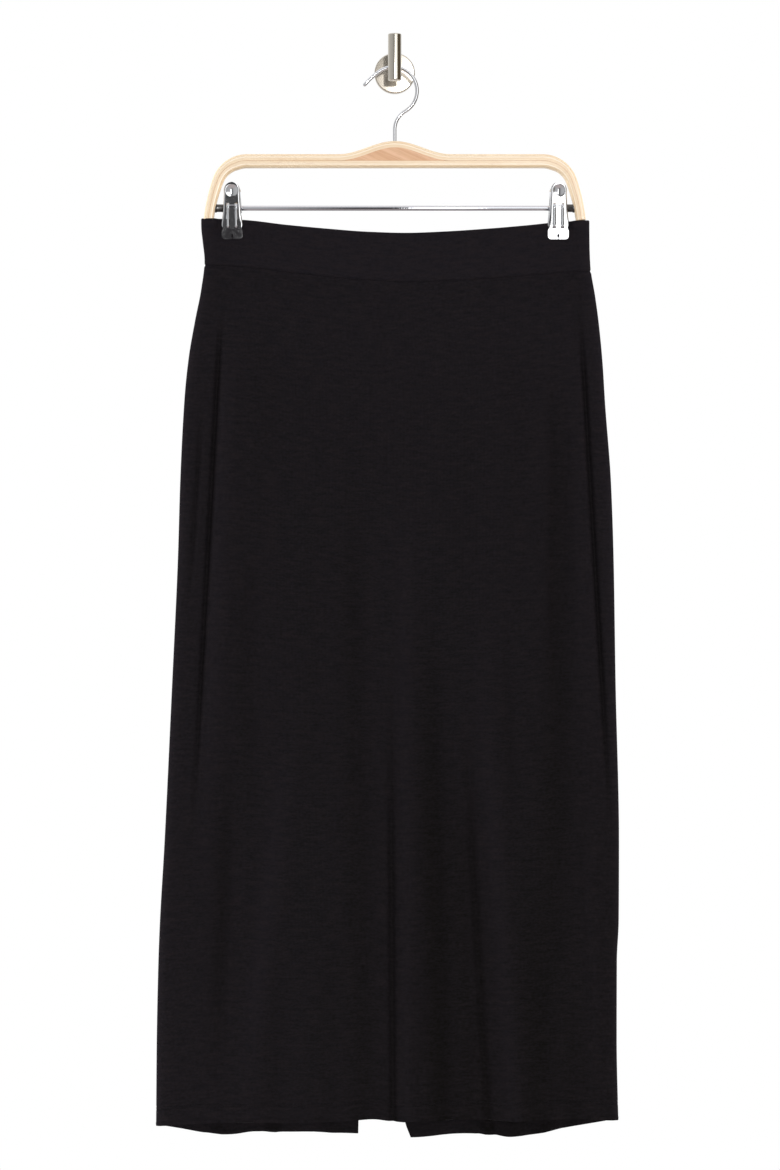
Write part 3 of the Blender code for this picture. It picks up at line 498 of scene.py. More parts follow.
def wire_route():
    """The wire's centreline in the hanger's plane, from its foot to its tip."""
    centre_z = STEM_Z + 4 * MM + GLUE + WIRE_RADIUS - HOOK_RADIUS
    join_x = HOOK_CENTRE_X + HOOK_RADIUS * math.cos(HOOK_TURN[0])
    join_z = centre_z + HOOK_RADIUS * math.sin(HOOK_TURN[0])
    turn = -HOOK_TURN[0]
    swan_radius = join_x / (1 - math.cos(turn))
    shank_top = join_z - swan_radius * math.sin(turn)
    sweep = HOOK_TURN[1] - HOOK_TURN[0]
    moves = [
        (shank_top - WIRE_FOOT, 0, 10),
        (swan_radius * turn, -turn, 26),
        (HOOK_RADIUS * sweep, sweep, 72),
        (TIP_LENGTH, TIP_LENGTH / TIP_RADIUS, 10),
    ]
    return walk((0, WIRE_FOOT), math.pi / 2, moves)


def drawn_wire(route, radius, segments=28):
    """A round wire along (x, z, heading) stations, grown ring by ring, with domed ends."""

    def domed(x, z, heading, side):
        rings = [(side * radius * math.cos(a), math.sin(a)) for a in np.radians((8, 28, 50, 72))]
        across, up = math.cos(heading), math.sin(heading)
        return [(x + across * on, z + up * on, heading, size) for on, size in rings]

    stations = domed(*route[0], -1) + [(*place, 1.0) for place in route] + domed(*route[-1], 1)[::-1]
    bm = bmesh.new()
    ring = bmesh.ops.create_circle(bm, cap_ends=True, radius=radius, segments=segments)["verts"]
    last = Matrix.Identity(4)
    for index, (x, z, heading, size) in enumerate(stations):
        here = (
            Matrix.Translation((x, HANGER_Y, z))
            @ Matrix.Rotation(math.pi / 2 - heading, 4, "Y")
            @ Matrix.Scale(size, 4)
        )
        if index:
            edges = {e for v in ring for e in v.link_edges if e.other_vert(v) in ring}
            grown = bmesh.ops.extrude_edge_only(bm, edges=list(edges))["geom"]
            ring = [v for v in grown if isinstance(v, bmesh.types.BMVert)]
        bmesh.ops.transform(bm, matrix=here @ last.inverted(), verts=ring)
        last = here
    edges = [e for v in ring for e in v.link_edges if e.other_vert(v) in ring]
    bmesh.ops.edgeloop_fill(bm, edges=list(set(edges)))
    bmesh.ops.recalc_face_normals(bm, faces=bm.faces)
    return bm


def chrome_finish(name, tint, smooth, handled, rippled):
    """Bright chrome plate: a mirror on steel that isn't quite even, dulled in faint patches where it
    has been handled."""
    made, tree, shader = new_finish(name, Base_Color=tint, Metallic=1.0)
    place = add_node(tree, "TexCoord", out="Object")
    patches = add_node(tree, "TexNoise", {"Vector": place, "Scale": 160, "Detail": 5, "Roughness": 0.6})
    dulled = add_node(
        tree, "MapRange",
        {"Value": patches, "From Min": 0.45, "From Max": 0.75, "To Min": smooth, "To Max": handled},
    )
    ripple = add_node(tree, "TexNoise", {"Vector": place, "Scale": 420, "Detail": 2})
    waves = add_node(tree, "Bump", {"Height": ripple, "Strength": rippled, "Distance": 0.05 * MM})
    fill_sockets(tree, shader, {"Roughness": dulled, "Normal": waves})
    return made


wire_chrome = chrome_finish("chrome_plated_wire", "E0E1E4", 0.05, 0.09, 0.005)
put(drawn_wire(wire_route(), WIRE_RADIUS), "bent_wire_hook", wire_chrome, "chrome_plate", "hanger_hook")

# ---------------------------------------------------------------------------------------------
# The rod: drawn steel, chrome plated, with its ends set into blind holes in the inner strip. Each
# end wears a black moulded collar that keeps the clips off the wood.

ROD_Z = -128.2 * MM
ROD_RADIUS = 2.4 * MM
ROD_HALF = 168.5 * MM
ARM_FACE = 166.3 * MM

profile = ((0, 0), (ROD_RADIUS, 0), (ROD_RADIUS, 2 * ROD_HALF), (0, 2 * ROD_HALF))
bm = lathe(profile, (1, 0, 0), (-ROD_HALF, HANGER_Y, ROD_Z), 40)
rounded(bm, sharp_edges(bm), 0.4 * MM, 2)
rod_chrome = chrome_finish("chrome_plated_drawn_rod", "DFE0E6", 0.05, 0.1, 0.7)
put(bm, "plated_rod", rod_chrome, "chrome_plate", "hanger_rod")

# Black polyamide, moulded with a soft gloss: it shows one narrow bright line along its top.
collar_plastic, tree, shader = new_finish(
    "moulded_black_polyamide", Base_Color="1E1A19", Roughness=0.22, Specular_IOR_Level=1.0
)
place = add_node(tree, "TexCoord", out="Object")
specks = add_node(tree, "TexNoise", {"Vector": place, "Scale": 900, "Detail": 3})
shade = add_node(tree, "Mix", {0: specks, 6: "181413", 7: "2A2422"}, 2, data_type="RGBA")
grainy = add_node(tree, "Bump", {"Height": specks, "Strength": 0.06, "Distance": 0.05 * MM})
fill_sockets(tree, shader, {"Base Color": shade, "Normal": grainy})

COLLAR = (2.45, 0), (4.1, 0), (4.1, 1.4), (3.6, 1.7), (3.6, 7.2), (3.2, 7.8), (2.45, 7.8), (2.45, 0)
for side, name in ((-1, "left"), (1, "right")):
    bm = lathe(np.array(COLLAR) * MM, (-side, 0, 0), (side * (ARM_FACE - 0.2 * MM), HANGER_Y, ROD_Z), 48)
    rounded(bm, sharp_edges(bm), 0.3 * MM, 3)
    put(bm, name + "_collar", collar_plastic, "black_plastic", "rod_ferrule_" + name)

# ---------------------------------------------------------------------------------------------
# The clips' plates: steel pressed to shape, with a thumb dish in a round head, two slots for the
# spring, edges turned in, a waist above the jaw and a keyhole in it, all bright chrome plated.

CLIPS = ("left", -150.2 * MM), ("right", 151.2 * MM)
PLATE_SHEET = 0.9 * MM
DISH_DROP = 112.8 * MM
DISH_RADIUS = 5.4 * MM
DISH_DEPTH = 1.5 * MM
SLOT_DROPS = (124.2 * MM, 144 * MM)
TIP_HOLE = (145.2 * MM, 147.0 * MM)
KEYHOLE_DROP = 153.9 * MM
KEYHOLE_HALF = 1.8 * MM
# By level in millimetres: half width, how far the face stands from the hanger's plane, and how far
# the edges are turned in
PLATE_TABLE = (
    ("drop", "half", "offset", "flange"),
    (105.4, 0.7, 12.5, 0.2), (105.9, 2.8, 12.4, 0.4), (107.2, 5.0, 12.2, 0.8), (109.5, 6.8, 11.7, 1.5),
    (112.4, 7.5, 11.0, 2.1), (115.6, 7.45, 10.2, 2.4), (118.5, 7.6, 9.6, 2.6), (127.0, 8.2, 7.7, 2.4),
    (135.0, 8.8, 5.9, 1.6), (141.5, 9.6, 4.5, 0.6), (143.8, 9.7, 4.0, 0.3), (145.4, 9.1, 3.6, 0.1),
    (146.6, 8.6, 3.3, 0.0), (148.2, 9.1, 3.0, 0.0), (149.6, 9.6, 3.0, 0.0), (154.2, 9.6, 3.0, 0.0),
    (155.9, 9.1, 3.0, 0.0), (156.8, 8.1, 3.0, 0.0), (157.2, 6.9, 3.0, 0.0),
)


def column(table, name):
    """One named column of a table in millimetres, in metres."""
    return np.array([row[table[0].index(name)] for row in table[1:]], float) * MM


def curve_through(x, xs, ys):
    """A smooth curve through the points (xs, ys) at x, that never overshoots them."""
    step = np.diff(xs)
    slope = np.diff(ys) / step
    tangent = np.zeros(len(xs))
    tangent[0], tangent[-1] = slope[0], slope[-1]
    same_way = slope[:-1] * slope[1:] > 0
    joined = np.where(same_way, slope[:-1] * slope[1:], 0)
    total = np.where(same_way, slope[:-1] + slope[1:], 1)
    tangent[1:-1] = 2 * joined / total
    at = np.clip(np.asarray(x, float), xs[0], xs[-1])
    i = np.clip(np.searchsorted(xs, at, side="right") - 1, 0, len(step) - 1)
    t = (at - xs[i]) / step[i]
    low = (1 + 2 * t) * (1 - t) ** 2 * ys[i] + t * (1 - t) ** 2 * step[i] * tangent[i]
    high = t * t * (3 - 2 * t) * ys[i + 1] - t * t * (1 - t) * step[i] * tangent[i + 1]
    return low + high


def smoothed(x):
    """0 below 0, 1 above 1, and an even curve between."""
    t = np.clip(x, 0, 1)
    return t * t * (3 - 2 * t)


def looked_up(table, at, name):
    """A named value of a table, on a smooth curve over its first column."""
    return curve_through(at, column(table, table[0][0]), column(table, name))


def plate_drops():
    """The levels of a plate's rows, with one at every edge of an opening."""
    stops = [105.4, 105.9, 107.2, 109.5, 112.8, 116, 121.8, 124.2, 135, 144, 145.2, 147, 149.6]
    stops += [152.2, 153.9, 155.4, 156.2, 157.2]
    counts = [1, 3, 6, 9, 9, 10, 3, 9, 6, 2, 3, 4, 4, 4, 4, 2, 3]
    levels = [stops[0]]
    for low, high, count in zip(stops, stops[1:], counts):
        levels += list(low + (high - low) * np.arange(1, count + 1) / count)
    return np.array(levels) * MM


def half_keyhole(drop):
    """Half the width of the cut in the jaw: a diamond, and a slit from it to the edge."""
    return max(0.3 * MM, KEYHOLE_HALF - abs(drop - KEYHOLE_DROP))


def shaped_grid(rows):
    """A grid of faces on these rows of points."""
    bm = bmesh.new()
    bmesh.ops.create_grid(bm, x_segments=len(rows[0]) - 1, y_segments=len(rows) - 1, size=1.0)
    for vert, point in zip(bm.verts, [point for row in rows for point in row]):
        vert.co = point
    bm.verts.index_update()
    return bm


def pressed_plate(clip_x, facing):
    """One plate's outer face: a grid shaped by the table, with its openings cut."""
    bend = np.radians((18, 36, 54, 72, 90))
    rows = []
    for drop in plate_drops():
        half, face, flange = (looked_up(PLATE_TABLE, drop, name) for name in ("half", "offset", "flange"))
        flat = half * 0.86
        spread = float(smoothed((drop - 126 * MM) / (3 * MM)))
        slot_sides = (2.5 - 0.3 * spread) * MM, (5.1 + 0.4 * spread) * MM
        places = (half_keyhole(drop), 1.85 * MM, slot_sides[0], 3.2 * MM, 4.4 * MM, slot_sides[1], 6.2 * MM)
        side = [(min(x, flat * (i + 1) / 8), 0.0) for i, x in enumerate(places)] + [(flat, 0.0)]
        side += [(flat + (half - flat) * math.sin(a), flange * (1 - math.cos(a))) for a in bend]
        rows.append([])
        for x, turned in [(-x, turned) for x, turned in side[::-1]] + side:
            reach = math.hypot(x, drop - DISH_DROP) / DISH_RADIUS
            offset = face - turned - DISH_DEPTH * max(0.0, 1 - reach**2)
            rows[-1].append((clip_x - facing * x, HANGER_Y + facing * offset, -drop))
    bm = shaped_grid(rows)
    openings = []
    for face in bm.faces:
        middle = face.calc_center_median()
        x, drop = abs(middle.x - clip_x), -middle.z
        beside = 2.4 * MM < x < 5.2 * MM
        slot = beside and SLOT_DROPS[0] < drop < SLOT_DROPS[1]
        tip = beside and TIP_HOLE[0] < drop < TIP_HOLE[1]
        keyhole = x < 0.1 * MM and drop > KEYHOLE_DROP - KEYHOLE_HALF + 0.2 * MM
        if slot or tip or keyhole:
            openings.append(face)
    bmesh.ops.delete(bm, geom=openings, context="FACES")
    bmesh.ops.reverse_faces(bm, faces=bm.faces)
    return bm


def thin_wall(piece, thickness, edge, sharper_than, flat_faces=False):
    """Gives a piece its sheet's thickness, inwards from its outer face, and eases its edges."""
    wall = piece.modifiers.new("Sheet", "SOLIDIFY")
    wall.thickness = thickness
    wall.offset = -1
    wall.use_even_offset = False
    eased = piece.modifiers.new("Eased edges", "BEVEL")
    eased.width = edge
    eased.segments = 2
    eased.limit_method = "ANGLE"
    eased.angle_limit = math.radians(sharper_than)
    eased.harden_normals = flat_faces


clip_chrome = chrome_finish("chrome_plated_pressing", "E2E3E6", 0.06, 0.12, 0.02)
for hand, clip_x in CLIPS:
    for facing, face in ((-1, "front"), (1, "back")):
        bm = pressed_plate(clip_x, facing)
        node = f"clip_{hand}_{face}"
        piece = put(bm, f"{hand}_clip_{face}_plate", clip_chrome, "chrome_plate", node)
        thin_wall(piece, PLATE_SHEET, 0.18 * MM, 50, True)

# ---------------------------------------------------------------------------------------------
# The clips' springs: one flat strip of spring steel each, bowed over the rod. It comes out through
# the slots and runs down each plate as two prongs, whose tips hook into holes above the jaw.

SPRING_SHEET = 0.8 * MM
SPRING_BOW = 3.7 * MM
PRONG_LENGTH = 21.3 * MM
CROWN = 0.45 * MM
SPRING_ROWS = 97


def plate_face(drop):
    """How far a plate's face stands from the hanger's plane, at a drop in millimetres."""
    return looked_up(PLATE_TABLE, drop * MM, "offset")


def spring_line():
    """The strip's outer face in its own upright plane, from the back's tips over to the front's."""
    lie = 0.25 * MM + SPRING_SHEET
    bent_in = ((146.7, -0.35 * MM), (146.2, 0.45 * MM))
    tip = [(plate_face(d) + lift, -d * MM) for d, lift in bent_in]
    leg = [(plate_face(d) + lie, -d * MM) for d in (145.3, 143.5, 140, 136, 132, 130)]
    knee = [
        (plate_face(128.2) + lie + 0.1 * MM, -128.2 * MM),
        (plate_face(127.0) + lie - 0.15 * MM, -126.9 * MM),
        (plate_face(126.0) + 0.15 * MM, -126.0 * MM), (7.1 * MM, -125.4 * MM), (5.6 * MM, -125.1 * MM),
    ]
    bow = [
        (SPRING_BOW * math.sin(a), ROD_Z + 0.55 * MM + SPRING_BOW * math.cos(a))
        for a in np.radians((68, 52, 35, 18, 0))
    ]
    half = np.array(tip + leg + knee + bow)
    return np.concatenate([half * (-1, 1), half[-2::-1]])


def bowed_spring(clip_x):
    """The strip with its slots cut: each prong is crowned across."""
    run = spring_line()
    length = lengths_along(run)
    stops = np.linspace(0, length[-1], SPRING_ROWS)
    from_tip = np.minimum(stops, length[-1] - stops)
    offset, z = (curve_through(stops, length, run[:, i]) for i in (0, 1))
    across = np.array([2.6, 2.8, 3.2, 3.8, 4.4, 4.8, 5.0]) * MM
    across = np.concatenate([-across[::-1], across])
    belly = 1 - ((np.abs(across) - 3.8 * MM) / (1.2 * MM)) ** 2
    rows = []
    for r in range(SPRING_ROWS):
        crown = CROWN * (1 - smoothed((from_tip[r] - PRONG_LENGTH + 2 * MM) / (2 * MM)))
        y = HANGER_Y + offset[r] + crown * belly * (-1 if r < SPRING_ROWS // 2 else 1)
        rows.append(np.column_stack([clip_x + across, y, np.full(len(across), z[r])]))
    bm = shaped_grid(rows)
    slot = []
    for face in bm.faces:
        row = min(v.index for v in face.verts) // len(across)
        if abs(face.calc_center_median().x - clip_x) < 1 * MM and from_tip[row] < PRONG_LENGTH:
            slot.append(face)
    bmesh.ops.delete(bm, geom=slot, context="FACES")
    return bm


spring_chrome = chrome_finish("chrome_plated_spring_steel", "D6D8DC", 0.08, 0.14, 0.02)
for hand, clip_x in CLIPS:
    bm = bowed_spring(clip_x)
    piece = put(bm, hand + "_clip_bow", spring_chrome, "chrome_plate", f"clip_{hand}_spring")
    thin_wall(piece, SPRING_SHEET, 0.2 * MM, 50)

# ---------------------------------------------------------------------------------------------
# The skirt's cloth: a closed tube of fine black jersey, cut as a front, two backs and a waistband.
# It hangs from the clips, so its sides fall in long creases and its middle sags in soft folds.

BAND_WALL = 1.6 * MM
PANEL_WALL = 1.2 * MM
WAIST_DROP = 137.8 * MM
SEAM_DROP = 183 * MM
HEM_DROP = 972 * MM
SEAM_LEAN = 0.0115
PINCH_X = 151 * MM
PINCH_HALF = 10.8 * MM
PINCH_OUTER_FADE = 13 * MM
PINCH_INNER_FADE = 95 * MM
PINCH_LEVEL = 166 * MM
PINCH_FADE = 110 * MM
PINCH_DEPTH = BAND_WALL + 0.15 * MM
# The tube by level, in millimetres: how far it reaches left and right of the hanger's middle, how
# deep it is in front of and behind the hanger's plane, and how square it is
SECTIONS = (
    ("drop", "left", "right", "front", "back", "square"),
    (137.8, 179.0, 180.0, 11.4, 11.4, 5.0), (146.0, 178.9, 180.0, 11.4, 11.4, 5.0),
    (160.0, 177.6, 180.2, 11.4, 11.4, 4.6), (178.0, 175.9, 181.0, 11.6, 11.4, 4.2),
    (207.0, 179.3, 185.6, 13.0, 12.0, 3.6), (232.0, 184.3, 188.9, 14.5, 13.0, 3.4),
    (269.0, 190.7, 192.4, 16.0, 14.0, 3.2), (306.0, 194.5, 194.7, 17.0, 14.6, 3.1),
    (380.0, 198.4, 200.2, 18.0, 15.2, 3.0), (454.0, 200.7, 202.7, 19.0, 15.6, 2.9),
    (565.0, 205.8, 204.4, 20.5, 16.2, 2.9), (713.0, 213.0, 207.6, 22.0, 17.0, 2.8),
    (787.0, 217.3, 207.3, 22.7, 17.2, 2.8), (824.0, 218.7, 205.6, 23.0, 17.4, 2.8),
    (898.0, 220.2, 205.4, 23.5, 17.7, 2.8), (976.0, 220.8, 207.0, 24.0, 18.0, 2.8),
)
# Folds by row, in millimetres: where each starts and ends, its half width, and how far it is pressed
# in; a negative depth stands out. The last two are the lengths over which it fades. The fainter
# creases between the folds come last
FOLD_COLUMNS = ("top", "bottom", "x_top", "x_bottom", "half", "depth", "fade_in", "fade_out")
FRONT_FOLDS = (
    (205, 740, -158.8, -187.5, 2.5, 4.3, 90, 200), (225, 800, -150.5, -177.5, 7.0, -2.8, 110, 260),
    (300, 520, -176.5, -191.5, 2.4, 2.4, 70, 90), (190, 760, 169.3, 202.0, 2.5, 4.2, 110, 230),
    (215, 780, 160, 188, 9.0, -1.4, 120, 260), (520, 1100, -4.0, -0.8, 3.2, 3.5, 240, 1),
    (330, 1100, 8.0, 11.5, 6.5, -2.2, 250, 1), (420, 1100, 27, 46, 12.0, 4.8, 300, 1),
    (560, 1100, 62, 93, 4.0, 3.4, 200, 1), (600, 1100, 52, 78, 11.0, 2.2, 180, 1),
    (460, 1100, 72, 118, 9.0, -3.0, 260, 1), (240, 640, 145, 145, 3.6, 1.4, 100, 160),
    (260, 900, 156, 142, 13.0, 3.0, 140, 260), (560, 1000, -92, -143, 9.0, -2.8, 160, 160),
    (600, 980, -152, -166, 8.0, 3.4, 140, 160), (300, 1100, -42, -28, 13.0, 2.6, 220, 1),
    (192, 330, -14, -9, 3.0, 0.5, 40, 90), (200, 520, -118, -128, 12.0, 0.9, 90, 180),
    (210, 560, 104, 116, 14.0, 0.8, 100, 200), (260, 620, 62, 52, 16.0, 0.7, 120, 200),
    (330, 760, -70, -82, 13.0, 0.8, 140, 240), (400, 760, -139, -137, 10.0, 2.0, 140, 160),
    (760, 1100, -112, -118, 9.0, 1.4, 160, 1), (700, 1100, -62, -66, 12.0, 1.2, 180, 1),
    (480, 720, 100, 106, 4.5, 1.4, 100, 120), (700, 1100, 132, 128, 16.0, 2.6, 180, 1),
    (820, 1100, 160, 166, 10.0, 1.4, 140, 1), (780, 1100, 18, 20, 6.0, 1.0, 140, 1),
    (640, 1020, 176, 184, 6.0, -1.2, 120, 160), (430, 700, -171, -181, 3.0, -0.6, 90, 120),
)
BACK_FOLDS = (
    (205, 720, -158, -186, 2.8, 5.0, 80, 160), (230, 800, -149, -177, 7.5, -2.2, 120, 260),
    (195, 640, 168, 194, 2.8, 4.6, 80, 150), (225, 760, 159, 184, 8.0, -2.0, 120, 260),
    (480, 1100, -94, -118, 5.5, 4.6, 240, 1), (420, 1100, -66, -84, 12.0, -2.4, 260, 1),
    (560, 1100, 70, 92, 4.6, 4.6, 200, 1), (400, 1100, 42, 58, 12.0, -2.2, 280, 1),
    (620, 1100, 128, 146, 9.0, 3.6, 200, 1), (600, 1100, -150, -166, 8.0, 3.0, 200, 1),
    (200, 420, 10, 6, 4.0, 0.6, 60, 140), (210, 560, -100, -112, 13.0, 0.9, 100, 200),
    (220, 600, 96, 108, 15.0, 0.8, 110, 200), (340, 760, -40, -46, 14.0, 0.8, 150, 240),
    (300, 700, 30, 24, 16.0, 0.7, 140, 220), (760, 1100, 110, 114, 9.0, 1.3, 160, 1),
    (700, 1100, -56, -60, 7.0, 1.5, 180, 1), (420, 680, -170, -180, 3.0, -0.9, 90, 120),
)
# The hem's drop across the skirt, in millimetres: the back hangs lower than the front
FRONT_HEM = (
    ("x", "drop"), (-222, 976), (-190, 972.5), (-150, 970.5), (-90, 970.3), (-34, 967.9), (-19, 966.8),
    (2, 968.9), (30, 969.3), (69, 967.0), (100, 968.8), (125, 969), (160, 967.5), (207, 970.5),
)
BACK_HEM = (
    ("x", "drop"), (-222, 976), (-197, 981), (-175, 985.2), (-152, 986.9), (-130, 984.5), (-97, 985),
    (-34, 986.6), (15.4, 990.3), (47, 987.9), (69, 986.6), (92, 987.6), (106, 989.6), (125, 987.6),
    (158, 980.6), (192, 974), (207, 970.5),
)
# How far the waistband's top edge sags below its ends, in millimetres
WAIST_SAG = (
    ("x", "sag"), (-180, 0.2), (-158, 0.3), (-137, 1.4), (-100, 6.0), (-63, 9.9), (-26, 12.8), (10, 13.9),
    (47, 12.6), (84, 9.9), (121, 6.4), (150, 3.4), (170, 2.2), (181, 1.9),
)
# The two backs' inner edges, in millimetres: a closed seam above the slit, then parting
SLIT_EDGES = (
    ("drop", "left", "right"), (138, 0.0, 0.0), (735, -5.5, -5.5), (770, -9.0, -4.6),
    (820, -16.0, -1.0), (880, -25.0, 3.6), (935, -32.0, 7.6), (960, -33.6, 10.0), (972, -33.8, 14.8),
)


def pinch(x, drop):
    """How far the clips press the cloth flat at x: 1 under a jaw, 0 away from it."""
    beside = np.abs(x) - PINCH_X
    fade = PINCH_OUTER_FADE * (0.4 + 0.6 * smoothed((drop - 142 * MM) / (14 * MM)))
    outside = 1 - 0.7 * smoothed((beside - PINCH_HALF) / fade)
    inside = 1 - 0.72 * smoothed((-beside - PINCH_HALF) / PINCH_INNER_FADE)
    across = np.where(beside > 0, outside, inside)
    return across * (1 - smoothed((drop - PINCH_LEVEL) / PINCH_FADE))


def relief(x, drop, folds):
    """How far the folds press the cloth in at x."""
    total = np.zeros_like(x)
    for row in folds:
        fold = dict(zip(FOLD_COLUMNS, (value * MM for value in row)))
        along = (drop - fold["top"]) / (fold["bottom"] - fold["top"])
        middle = fold["x_top"] + (fold["x_bottom"] - fold["x_top"]) * along
        starts = smoothed((drop - fold["top"]) / fold["fade_in"])
        ends = smoothed((fold["bottom"] - drop) / fold["fade_out"])
        total += fold["depth"] * starts * ends * np.exp(-(((x - middle) / fold["half"]) ** 2))
    return total


def height(x, drop, behind):
    """The height of the cloth at x on the level that has this drop at the side seams."""
    hem = BACK_HEM if behind else FRONT_HEM
    lower = looked_up(hem, x, "drop")
    sag = looked_up(WAIST_SAG, x, "sag")
    down_band = min(1.0, (drop - WAIST_DROP) / (SEAM_DROP - WAIST_DROP))
    down_panel = max(0.0, (drop - SEAM_DROP) / (HEM_DROP - SEAM_DROP))
    upper = sag + SEAM_LEAN * x * down_band
    return -(drop + upper * (1 - down_panel) + (lower - HEM_DROP) * down_panel)


def slit_edge(drop, side):
    return float(np.interp(drop, column(SLIT_EDGES, "drop"), column(SLIT_EDGES, side)))


def cloth_row(drop, behind, edges, shares, sunk):
    """Points across the cloth at a level, at these shares of the way between two edges, each sunk
    this far inwards; also the way in at each, how far each lies along the cloth, and how deep in a
    fold it is."""
    left, right = -looked_up(SECTIONS, drop, "left"), looked_up(SECTIONS, drop, "right")
    deep = looked_up(SECTIONS, drop, "back" if behind else "front")
    square = looked_up(SECTIONS, drop, "square") / MM
    even = np.linspace(-1, 1, 1401)
    share = np.sign(even) * (1 - (1 - np.abs(even)) ** 3)
    x = (left + right) / 2 + (right - left) / 2 * share
    depth = deep * (1 - np.abs(share) ** square) ** (1 / square)
    held = pinch(x, drop)
    depth = depth * (1 - held) + np.minimum(depth, PINCH_DEPTH) * held
    folded = relief(x, drop, BACK_FOLDS if behind else FRONT_FOLDS)
    depth = depth - folded
    facing = 1 if behind else -1
    line = np.stack([x, HANGER_Y + facing * depth], axis=1)
    along = np.gradient(line, axis=0)
    along /= np.linalg.norm(along, axis=1, keepdims=True)
    inward = np.stack([along[:, 1], -along[:, 0]], axis=1) * facing
    run = lengths_along(line)
    first, last = np.interp(edges, line[:, 0], run)
    first, last = max(first, 0.03 * MM), min(last, run[-1] - 0.03 * MM)
    at = first + (last - first) * shares
    flat = np.stack([np.interp(at, run, line[:, i]) for i in (0, 1)], axis=1)
    into = np.stack([np.interp(at, run, inward[:, i]) for i in (0, 1)], axis=1)
    flat = flat + into * np.asarray(sunk)[:, None]
    points = np.column_stack([flat, height(flat[:, 0], drop, behind)])
    return points, into, at - run[-1] / 2, np.interp(at, run, folded)


def across_shares(width, pitch, creased=()):
    """Shares across a panel, with closer ones beside the seams at both edges and in the spans that
    hold the narrow creases."""
    beside = [away * MM / width for away in (0, 0.4, 0.9, 1.6, 2.6, 4.0)]
    between = []
    place = beside[-1] + pitch / 2 / width
    while place < 1 - beside[-1] - pitch / 3 / width:
        between.append(place)
        narrow = any(low < place < high for low, high in creased)
        place += pitch * (0.6 if narrow else 1) / width
    return np.array(beside + between + [1 - share for share in reversed(beside)])


def seam_ditch(away):
    """How far a seam draws the cloth in, by the distance from it."""
    return 0.75 * MM * np.exp(-((away / (1.3 * MM)) ** 2))


def side_ditches(shares, width, left=1, right=1):
    """How far the seams at a panel's left and right draw it in, by how far each is sewn shut."""
    return np.maximum(seam_ditch(shares * width) * left, seam_ditch((1 - shares) * width) * right)


# Fine viscose jersey, dyed black. The knit shows upright wales under a faint fuzz; the real ones
# are half a millimetre apart, and are drawn at 1.3 mm so that they show. The loops' small patches of
# light and dark run a little longer across than down. Light and shade are painted on as well: the
# colour is paler and cooler on the folds' ridges, a painted highlight, and darker in the valleys and
# towards the hem, a painted shade.
jersey, tree, shader = new_finish(
    "black_viscose_jersey", Roughness=0.8, Specular_IOR_Level=0.07, Sheen_Weight=0.08, Sheen_Roughness=0.25,
    Sheen_Tint="CFC8CC",
)
cut_place = add_node(tree, "UVMap", uv_map="cloth")
flecks_at = add_node(tree, "Mapping", {"Vector": cut_place, "Scale": (300, 620, 1)})
flecks = add_node(tree, "TexNoise", {"Vector": flecks_at, "Scale": 1, "Detail": 4})
clouds_at = add_node(tree, "Mapping", {"Vector": cut_place, "Scale": (65, 330, 1)})
clouds = add_node(tree, "TexNoise", {"Vector": clouds_at, "Scale": 1, "Detail": 3})
mottle = add_node(
    tree, "MapRange", {"Value": flecks, "From Min": 0.3, "From Max": 0.7, "To Min": -0.25, "To Max": 0.25}
)
cloudy = add_node(
    tree, "MapRange", {"Value": clouds, "From Min": 0.3, "From Max": 0.7, "To Min": -0.16, "To Max": 0.16}
)
# How much painted shade each point of the cloth takes, stored on the cloth itself.
painted_shade = add_node(tree, "Attribute", out="Fac", attribute_name="painted_shade")
uneven = add_node(tree, "Math", {0: mottle, 1: cloudy}, operation="ADD")
shade_amount = add_node(tree, "Math", {0: painted_shade, 1: uneven}, operation="ADD", use_clamp=True)
# The paler end of the blend: a painted highlight for the ridges, mottled warm and cool at random.
raised = add_node(tree, "Mix", {0: clouds, 6: "1F191A", 7: "16161D"}, 2, data_type="RGBA")
# Towards 080605, the painted shade of the valleys and the hem, by the painted-shade amount and its mottle.
shade = add_node(tree, "Mix", {0: shade_amount, 6: raised, 7: "080605"}, 2, data_type="RGBA")
wales = add_node(
    tree, "TexWave", {"Vector": cut_place, "Scale": 240, "Distortion": 0.6, "Detail": 1},
    "Fac", wave_type="BANDS", bands_direction="X",
)
courses = add_node(
    tree, "TexWave", {"Vector": cut_place, "Scale": 290, "Distortion": 0.8, "Detail": 1},
    "Fac", wave_type="BANDS", bands_direction="Y",
)
knit = add_node(tree, "Math", {0: wales, 1: courses}, operation="MULTIPLY")
loops = add_node(tree, "Math", {0: knit, 1: flecks}, operation="ADD")
stitches_up = add_node(tree, "Bump", {"Height": loops, "Strength": 0.35, "Distance": 0.12 * MM})
fill_sockets(tree, shader, {"Base Color": shade, "Normal": stitches_up})


def painted_shade_at(drop, x, beside, folded, behind):
    """How much painted shade the cloth takes: more in the folds' valleys and low on the right, less on
    the ridges (a painted highlight), under the waist, and where the front turns round at its sides (a
    painted sheen)."""
    # Painted shade: darker low on the cloth, mostly to the right.
    low = smoothed((drop - 0.3) / 0.65) * (0.1 + 0.9 * smoothed((x + 0.22) / 0.4))
    # Painted sheen: paler where the front's sides turn away.
    side_glow = 0 if behind else np.exp(-((beside / (9 * MM)) ** 2))
    under_waist = 1 - smoothed((drop - 0.2) / 0.15)
    # More painted shade in the folds' valleys, and less, a painted highlight, on their ridges.
    return 0.38 - 0.05 * under_waist - 0.36 * side_glow + 0.06 * folded / MM + 0.22 * low


